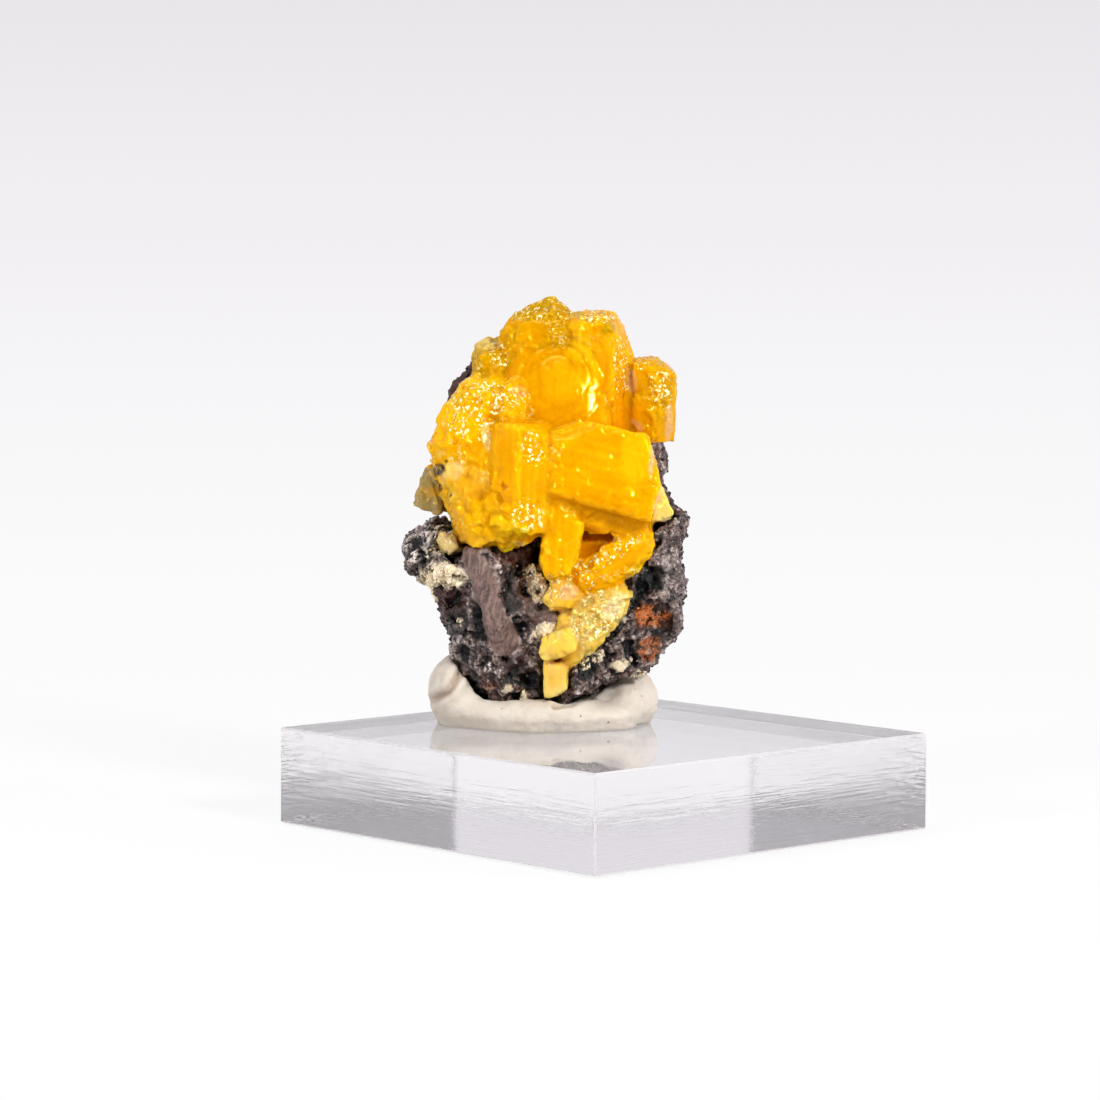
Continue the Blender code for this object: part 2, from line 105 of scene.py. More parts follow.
def mimetite():
    # Mimetite, grown: a resinous lead mineral, so it glows a little from inside and its small growth faces
    # flash white, by mirroring and by a painted glint colour. Rounded hillocks of about 0.4 mm cover the
    # glittering faces.
    material, tree = blankMaterial("resinousMimetite")
    place = addNode(tree, "ShaderNodeTexCoord").outputs["Object"]
    mask = {name: addNode(tree, "ShaderNodeAttribute", attribute_name=name).outputs["Fac"]
            for name in crystalMasks}
    clouds = addNode(tree, "ShaderNodeTexNoise",
                     {"Vector": place, "Scale": 1 / 0.0022, "Detail": 4.0, "Roughness": 0.55}).outputs["Fac"]
    grain = addNode(tree, "ShaderNodeTexNoise",
                    {"Vector": place, "Scale": 1 / 0.00035, "Detail": 3.0, "Roughness": 0.65}).outputs["Fac"]
    cloudMask = addNode(tree, "ShaderNodeMapRange", {"Value": clouds, "From Min": 0.38, "From Max": 0.64})
    grainMask = addNode(tree, "ShaderNodeMapRange", {"Value": grain, "From Min": 0.45, "From Max": 0.7,
                                                     "To Max": 0.25})
    darkGrain = addNode(tree, "ShaderNodeMapRange", {"Value": grain, "From Min": 0.48, "From Max": 0.3,
                                                     "To Max": 0.12})
    # where it glitters, about a quarter of the growth faces, 0.2 mm across, mirror the light and get a painted
    # glint colour
    bent = addNode(tree, "ShaderNodeTexNoise", {"Vector": place, "Scale": 1 / 0.0003, "Detail": 2.0})
    bend = addNode(tree, "ShaderNodeVectorMath", {0: bent.outputs["Color"], 1: (0.0003, 0.0003, 0.0003)},
                   operation="MULTIPLY").outputs[0]
    shifted = addNode(tree, "ShaderNodeVectorMath", {0: place, 1: bend}, operation="ADD").outputs[0]
    faces = addNode(tree, "ShaderNodeTexVoronoi", {"Vector": shifted, "Scale": 1 / 0.00021}).outputs["Color"]
    chosen = addNode(tree, "ShaderNodeMapRange", {"Value": faces, "From Min": 0.66, "From Max": 0.74})
    glittering = addNode(tree, "ShaderNodeMapRange", {"Value": mask["glitter"], "From Min": 0.3,
                                                      "From Max": 0.75})
    mirrorAndPaintedGlint = addNode(tree, "ShaderNodeMath", {0: chosen.outputs[0], 1: glittering.outputs[0]},
                    operation="MULTIPLY").outputs[0]
    colour = layered(tree, linear("#E6AA00"), (
        (linear("#F0B400"), cloudMask.outputs[0]),
        (linear("#F6D21E"), mask["lemon"]),
        # deep amber, partly painted shade
        (linear("#D49B00"), mask["deep"]),
        (linear("#A48E06"), mask["olive"]),
        # painted shade along the seams between crystals
        (linear("#CA9200"), mask["seamGrooveAndShade"]),
        (linear("#F2BE06"), grainMask.outputs[0]),
        (linear("#CC9400"), darkGrain.outputs[0]),
        # pale colour, and in one stripe a painted highlight
        (linear("#EEDDAE"), mask["pale"]),
        # painted glint: the chosen growth faces turn near-white
        (linear("#FFF3C4"), mirrorAndPaintedGlint),
        # painted reflection on flat faces
        (linear("#DDBBA0"), mask["paintedPinkSheen"]),
        (linear("#3A2820"), mask["dirt"]),
    ))
    cells = addNode(tree, "ShaderNodeTexVoronoi", {"Vector": place, "Scale": 1 / 0.00042, "Randomness": 1.0})
    # each hillock is round, and leans its own way, by 1600 times its distance from the middle in metres
    away = addNode(tree, "ShaderNodeVectorMath", {0: place, 1: cells.outputs["Position"]},
                   operation="SUBTRACT").outputs[0]
    lean = addNode(tree, "ShaderNodeVectorMath", {0: cells.outputs["Color"], 1: (0.5, 0.5, 0.5)},
                   operation="SUBTRACT").outputs[0]
    tilt = addNode(tree, "ShaderNodeVectorMath", {0: away, 1: lean}, operation="DOT_PRODUCT").outputs["Value"]
    tilted = addNode(tree, "ShaderNodeMath", {0: tilt, 1: 1600.0}, operation="MULTIPLY").outputs[0]
    domed = addNode(tree, "ShaderNodeMath", {0: cells.outputs["Distance"], 1: 2.0}, operation="POWER")
    hillock = addNode(tree, "ShaderNodeMath", {0: tilted, 1: domed.outputs[0]}, operation="SUBTRACT").outputs[0]
    # the hillocks stand up only where it glitters
    amount = addNode(tree, "ShaderNodeMapRange", {"Value": mask["glitter"], "To Min": 0.0, "To Max": 0.55})
    glitterHeight = addNode(tree, "ShaderNodeMath", {0: hillock, 1: amount.outputs[0]},
                            operation="MULTIPLY").outputs[0]
    sparkle = addNode(tree, "ShaderNodeBump", {"Height": glitterHeight, "Strength": 1.0, "Distance": 0.00042})
    fine = addNode(tree, "ShaderNodeBump", {"Height": grain, "Strength": 0.15, "Distance": 0.0001,
                                            "Normal": sparkle.outputs[0]})
    # its lustre is resinous, so the gloss itself is golden, with a thin white one over it
    rough = addNode(tree, "ShaderNodeMapRange", {"Value": mirrorAndPaintedGlint, "To Min": 0.22, "To Max": 0.34})
    mirror = addNode(tree, "ShaderNodeMath", {0: mirrorAndPaintedGlint, 1: 0.45}, operation="MULTIPLY")
    shader = addNode(tree, "ShaderNodeBsdfPrincipled", {
        "Base Color": colour, "Metallic": mirror.outputs[0], "Roughness": rough.outputs[0], "IOR": 1.6,
        "Specular Tint": linear("#FFC840"), "Subsurface Weight": 0.7, "Subsurface Radius": (1.0, 0.65, 0.1),
        "Subsurface Scale": 0.0008, "Normal": fine.outputs[0], "Coat Weight": 0.15, "Coat Roughness": 0.08,
        "Coat IOR": 1.6, "Coat Normal": sparkle.outputs[0]})
    finish(tree, shader.outputs[0])
    return material


def limonite():
    # Limonite and goethite, a natural iron ore crust: sub-metallic grey, painted lighter on the raised grain
    # as highlight and near-black in the voids as painted shade, with rusty and red-brown earth in the pits
    # and a cream crust by the crystals.
    material, tree = blankMaterial("grainyLimonite")
    place = addNode(tree, "ShaderNodeTexCoord").outputs["Object"]
    mask = {name: addNode(tree, "ShaderNodeAttribute", attribute_name=name).outputs["Fac"]
            for name in ("greyAndCrestHighlight", "hollowAndShade", "rust", "red", "crust", "rod", "flank", "brown", "frost")}
    coarse = addNode(tree, "ShaderNodeTexNoise",
                     {"Vector": place, "Scale": 1 / 0.0011, "Detail": 5.0, "Roughness": 0.62}).outputs["Fac"]
    grain = addNode(tree, "ShaderNodeTexNoise",
                    {"Vector": place, "Scale": 1 / 0.00035, "Detail": 4.0, "Roughness": 0.7}).outputs["Fac"]
    patches = addNode(tree, "ShaderNodeTexNoise",
                      {"Vector": place, "Scale": 1 / 0.0026, "Detail": 3.0, "Roughness": 0.6}).outputs["Fac"]
    greyMask = addNode(tree, "ShaderNodeMapRange", {"Value": coarse, "From Min": 0.4, "From Max": 0.6})
    brownMask = addNode(tree, "ShaderNodeMapRange", {"Value": patches, "From Min": 0.5, "From Max": 0.66,
                                                     "To Max": 0.8})
    # painted light on the fine grain, which also makes the bump: its high points are near-white as highlight,
    # its low points near-black as shade
    fleckHighlight = addNode(tree, "ShaderNodeMapRange", {"Value": grain, "From Min": 0.56, "From Max": 0.66,
                                                  "To Max": 0.9})
    pitShade = addNode(tree, "ShaderNodeMapRange", {"Value": grain, "From Min": 0.49, "From Max": 0.4,
                                                "To Max": 0.92})
    # the long rod is fibrous: lines 0.25 mm apart run down it
    fibreWay = addNode(tree, "ShaderNodeVectorRotate",
                       {"Vector": place, "Rotation": (0.0, -0.31, -stand["turn"])},
                       rotation_type="EULER_XYZ").outputs[0]
    drawn = addNode(tree, "ShaderNodeMapping", {"Vector": fibreWay, "Scale": (1.0, 1.0, 0.1)}).outputs[0]
    fibres = addNode(tree, "ShaderNodeTexNoise",
                     {"Vector": drawn, "Scale": 1 / 0.00025, "Detail": 4.0, "Roughness": 0.7}).outputs["Fac"]
    fibreTone = addNode(tree, "ShaderNodeMapRange", {"Value": fibres, "From Min": 0.35, "From Max": 0.65})
    rodColour = layered(tree, linear("#57403A"), ((linear("#A0847A"), fibreTone.outputs[0]),))
    flankColour = layered(tree, linear("#4A3430"), ((linear("#8C766F"), greyMask.outputs[0]),))
    colour = layered(tree, linear("#33221C"), (
        (linear("#A68F86"), greyMask.outputs[0]),
        (linear("#6E3820"), brownMask.outputs[0]),
        # painted highlight on the crests, with the rock's own grey patches
        (linear("#E2D4CD"), mask["greyAndCrestHighlight"]),
        (flankColour, mask["flank"]),
        (linear("#F4ECE8"), fleckHighlight.outputs[0]),
        (linear("#4B2A20"), mask["brown"]),
        (linear("#552210"), mask["red"]),
        (linear("#CC7414"), mask["rust"]),
        (linear("#120908"), pitShade.outputs[0]),
        (rodColour, mask["rod"]),
        (linear("#FBEED6"), mask["crust"]),
        (linear("#D9D0CE"), mask["frost"]),
        # painted shade in the hollows
        (linear("#060303"), mask["hollowAndShade"]),
    ))
    rough = addNode(tree, "ShaderNodeMapRange", {"Value": grain, "From Min": 0.3, "From Max": 0.7,
                                                 "To Min": 0.55, "To Max": 0.22})
    bumpCoarse = addNode(tree, "ShaderNodeBump", {"Height": coarse, "Strength": 0.7, "Distance": 0.0003})
    bumpGrain = addNode(tree, "ShaderNodeBump", {"Height": grain, "Strength": 1.0, "Distance": 0.0002,
                                                 "Normal": bumpCoarse.outputs[0]})
    shader = addNode(tree, "ShaderNodeBsdfPrincipled", {
        "Base Color": colour, "Roughness": rough.outputs[0], "IOR": 1.9, "Normal": bumpGrain.outputs[0]})
    finish(tree, shader.outputs[0])
    return material


def looseGrain():
    # the same rock's loose grain: each grain has its own tone, from black to bright metallic grey
    material, tree = blankMaterial("looseLimoniteGrain")
    tone = addNode(tree, "ShaderNodeAttribute", attribute_name="tone").outputs["Fac"]
    mask = {name: addNode(tree, "ShaderNodeAttribute", attribute_name=name).outputs["Fac"]
            for name in ("red", "rust", "crust")}
    grey = addNode(tree, "ShaderNodeMapRange", {"Value": tone, "From Min": 0.25, "From Max": 0.8})
    bright = addNode(tree, "ShaderNodeMapRange", {"Value": tone, "From Min": 0.86, "From Max": 0.97})
    colour = layered(tree, linear("#1A1213"), (
        (linear("#5F5556"), grey.outputs[0]),
        (linear("#A79F9F"), bright.outputs[0]),
        (linear("#3A140C"), mask["red"]),
        (linear("#B4640C"), mask["rust"]),
        (linear("#F8E8CA"), mask["crust"]),
    ))
    shader = addNode(tree, "ShaderNodeBsdfPrincipled", {"Base Color": colour, "Roughness": 0.38, "IOR": 1.9})
    finish(tree, shader.outputs[0])
    return material


def kneadedPutty():
    # Mounting putty, kneaded by hand: matte, off-white and warm, with faint smears and a few rusty
    # specks picked up from the rock.
    material, tree = blankMaterial("kneadedPutty")
    place = addNode(tree, "ShaderNodeTexCoord").outputs["Object"]
    smear = addNode(tree, "ShaderNodeTexNoise",
                    {"Vector": place, "Scale": 1 / 0.004, "Detail": 4.0, "Distortion": 0.8}).outputs["Fac"]
    fine = addNode(tree, "ShaderNodeTexNoise",
                   {"Vector": place, "Scale": 1 / 0.0005, "Detail": 3.0}).outputs["Fac"]
    dots = addNode(tree, "ShaderNodeTexVoronoi", {"Vector": place, "Scale": 1 / 0.0011}).outputs["Distance"]
    dotMask = addNode(tree, "ShaderNodeMapRange", {"Value": dots, "From Min": 0.12, "From Max": 0.06})
    some = addNode(tree, "ShaderNodeMapRange", {"Value": smear, "From Min": 0.52, "From Max": 0.6})
    speck = addNode(tree, "ShaderNodeMath", {0: dotMask.outputs[0], 1: some.outputs[0]}, operation="MULTIPLY")
    smearMask = addNode(tree, "ShaderNodeMapRange", {"Value": smear, "From Min": 0.35, "From Max": 0.65})
    creaseShade = addNode(tree, "ShaderNodeAttribute", attribute_name="creaseShade").outputs["Fac"]
    colour = layered(tree, linear("#D6CCBF"), (
        (linear("#E2D9CE"), smearMask.outputs[0]),
        # painted shade in the creases
        (linear("#A98F76"), creaseShade),
        (linear("#9A5A30"), speck.outputs[0]),
    ))
    bump = addNode(tree, "ShaderNodeBump", {"Height": fine, "Strength": 0.7, "Distance": 0.00016})
    shader = addNode(tree, "ShaderNodeBsdfPrincipled", {
        "Base Color": colour, "Roughness": 0.62, "IOR": 1.48, "Subsurface Weight": 0.3,
        "Subsurface Radius": (1.0, 0.8, 0.6), "Subsurface Scale": 0.0006, "Normal": bump.outputs[0]})
    finish(tree, shader.outputs[0])
    return material


def clearAcrylic():
    # Cast acrylic: clear, with polished faces above and below. Its sides are as the saw left them, so
    # they are a little rough and streaked along the cut.
    material, tree = blankMaterial("clearAcrylic")
    place = addNode(tree, "ShaderNodeTexCoord").outputs["Object"]
    sawn = addNode(tree, "ShaderNodeAttribute", attribute_name="sawn").outputs["Fac"]
    # saw lines 0.2 mm apart, drawn out to about 5 mm
    drawn = addNode(tree, "ShaderNodeMapping", {"Vector": place, "Scale": (0.04, 0.04, 1.0)})
    streaks = addNode(tree, "ShaderNodeTexNoise", {"Vector": drawn.outputs[0], "Scale": 1 / 0.0002,
                                                   "Detail": 3.0}).outputs["Fac"]
    sawHeight = addNode(tree, "ShaderNodeMath", {0: streaks, 1: sawn}, operation="MULTIPLY")
    bump = addNode(tree, "ShaderNodeBump", {"Height": sawHeight.outputs[0], "Strength": 0.5,
                                            "Distance": 0.00005})
    rough = addNode(tree, "ShaderNodeMapRange", {"Value": sawn, "To Min": 0.0, "To Max": 0.1})
    shader = addNode(tree, "ShaderNodeBsdfPrincipled", {
        "Base Color": linear("#FAF8FA"), "Roughness": rough.outputs[0], "IOR": 1.49,
        "Transmission Weight": 1.0, "Normal": bump.outputs[0]})
    finish(tree, shader.outputs[0])
    return material


def filedAcrylic():
    # The same acrylic where a file has broken its edges: scratched all over, so it looks whitish. The
    # scratches are 0.1 mm apart.
    material, tree = blankMaterial("filedAcrylic")
    place = addNode(tree, "ShaderNodeTexCoord").outputs["Object"]
    scratches = addNode(tree, "ShaderNodeTexNoise", {"Vector": place, "Scale": 1 / 0.0001, "Detail": 2.0})
    colour = layered(tree, linear("#E2DEE1"), ((linear("#F6F4F6"), scratches.outputs["Fac"]),))
    shader = addNode(tree, "ShaderNodeBsdfPrincipled", {
        "Base Color": colour, "Roughness": 0.5, "IOR": 1.49, "Transmission Weight": 0.4})
    finish(tree, shader.outputs[0])
    return material


resinousMimetite = mimetite()
grainyLimonite = limonite()
looseLimoniteGrain = looseGrain()
puttyFinish = kneadedPutty()
acrylicFinish = clearAcrylic()
filedFinish = filedAcrylic()


def linked(name, mesh):
    made = bpy.data.objects.new(name, mesh)
    bpy.context.scene.collection.objects.link(made)
    return made


def meshOf(bm, name):
    mesh = bpy.data.meshes.new(name)
    bm.to_mesh(mesh)
    bm.free()
    return mesh


def plain(piece, name):
    # turns what the piece's modifiers make into its own mesh
    made = bpy.data.meshes.new_from_object(piece.evaluated_get(bpy.context.evaluated_depsgraph_get()))
    piece.modifiers.clear()
    piece.data = made
    made.name = name
    return piece


def mergedCopy(node, added=()):
    # the node's own shape, with a solid added to it for each given set of corners
    bm = bmesh.new()
    bm.from_mesh(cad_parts[node].data)
    bmesh.ops.remove_doubles(bm, verts=bm.verts, dist=2e-6)
    for corners in added:
        bmesh.ops.convex_hull(bm, input=[bm.verts.new(p) for p in toPart(corners).tolist()])
    bmesh.ops.recalc_face_normals(bm, faces=bm.faces)
    return meshOf(bm, node + "Copy")


def remeshed(mesh, name, voxel):
    # an even skin over all the solids in the mesh
    piece = linked(name, mesh)
    skin = piece.modifiers.new("skin", "REMESH")
    skin.mode = "VOXEL"
    skin.voxel_size = voxel * 0.001
    return plain(piece, name)


def placesOf(mesh):
    flat = np.empty(len(mesh.vertices) * 3, np.float32)
    mesh.vertices.foreach_get("co", flat)
    return toSpecimen(flat.reshape(-1, 3).astype(float))


def normalsOf(mesh):
    flat = np.empty(len(mesh.vertices) * 3, np.float32)
    mesh.vertex_normals.foreach_get("vector", flat)
    return flat.reshape(-1, 3).astype(float) @ turnMatrix


def setPlaces(mesh, places):
    mesh.vertices.foreach_set("co", toPart(places).astype(np.float32).ravel())
    mesh.update()


def setMask(mesh, name, values):
    layer = mesh.attributes.new(name, "FLOAT", "POINT")
    layer.data.foreach_set("value", np.clip(values, 0, 1).astype(np.float32))


def dress(mesh, material):
    mesh.materials.clear()
    mesh.materials.append(material)
    mesh.shade_smooth()


def relaxed(mesh, places, rounds):
    # draws each point halfway towards the middle of its neighbours, again and again
    ends = np.empty(len(mesh.edges) * 2, np.int32)
    mesh.edges.foreach_get("vertices", ends)
    a, b = ends.reshape(-1, 2).T
    size = len(places)
    count = np.bincount(a, minlength=size) + np.bincount(b, minlength=size)
    for _ in range(rounds):
        total = np.stack([np.bincount(a, places[b, k], size) + np.bincount(b, places[a, k], size)
                          for k in range(3)], 1)
        places = places + 0.5 * (total / count[:, None] - places)
    return places


def grainField(places, size, shift=0.0):
    # smooth noise from about -1 to 1, its grains of the given size in mm, and others for each shift
    return np.array([noise.noise(p) for p in (places / size + shift).tolist()])


def cellField(places, size, shift=0.0):
    # distance to the nearest of scattered points, 0 to about 1
    return np.array([noise.voronoi(p)[0][0] for p in (places / size + shift).tolist()])


def facetField(places, size, shift=0.0):
    # small flat faces that each lean their own way: their height in mm, for faces of the given size
    heights = []
    for p in (places / size + shift).tolist():
        far, seeds = noise.voronoi(p)
        here, there = [(Vector(p) - seed).dot(noise.noise_vector(seed * 5.3)) for seed in seeds[:2]]
        share = max(0.0, 0.5 - (far[1] - far[0]) * 4)
        heights.append(here + (there - here) * share)
    return np.array(heights) * size


def ramp(values, low, high):
    t = np.clip((values - low) / (high - low), 0, 1)
    return t * t * (3 - 2 * t)


def heightInView(places):
    return places[:, 2] + places[:, 1] * math.tan(math.radians(stand["viewDown"]))


def patches(places, spots, ragged, facing):
    # spots on the front: x, height, half width, half height, tilt in degrees and strength
    x, h = places[:, 0], heightInView(places)
    total = np.zeros(len(places))
    for cx, ch, rx, rh, tilt, strength in spots:
        c, s = math.cos(math.radians(tilt)), math.sin(math.radians(tilt))
        along, across = (x - cx) * c + (h - ch) * s, (h - ch) * c - (x - cx) * s
        far = np.sqrt((along / rx) ** 2 + (across / rh) ** 2) + ragged * min(1.0, 0.5 / min(rx, rh) + 0.3)
        total = np.maximum(total, strength * ramp(far, 1.15, 0.75))
    return total * facing


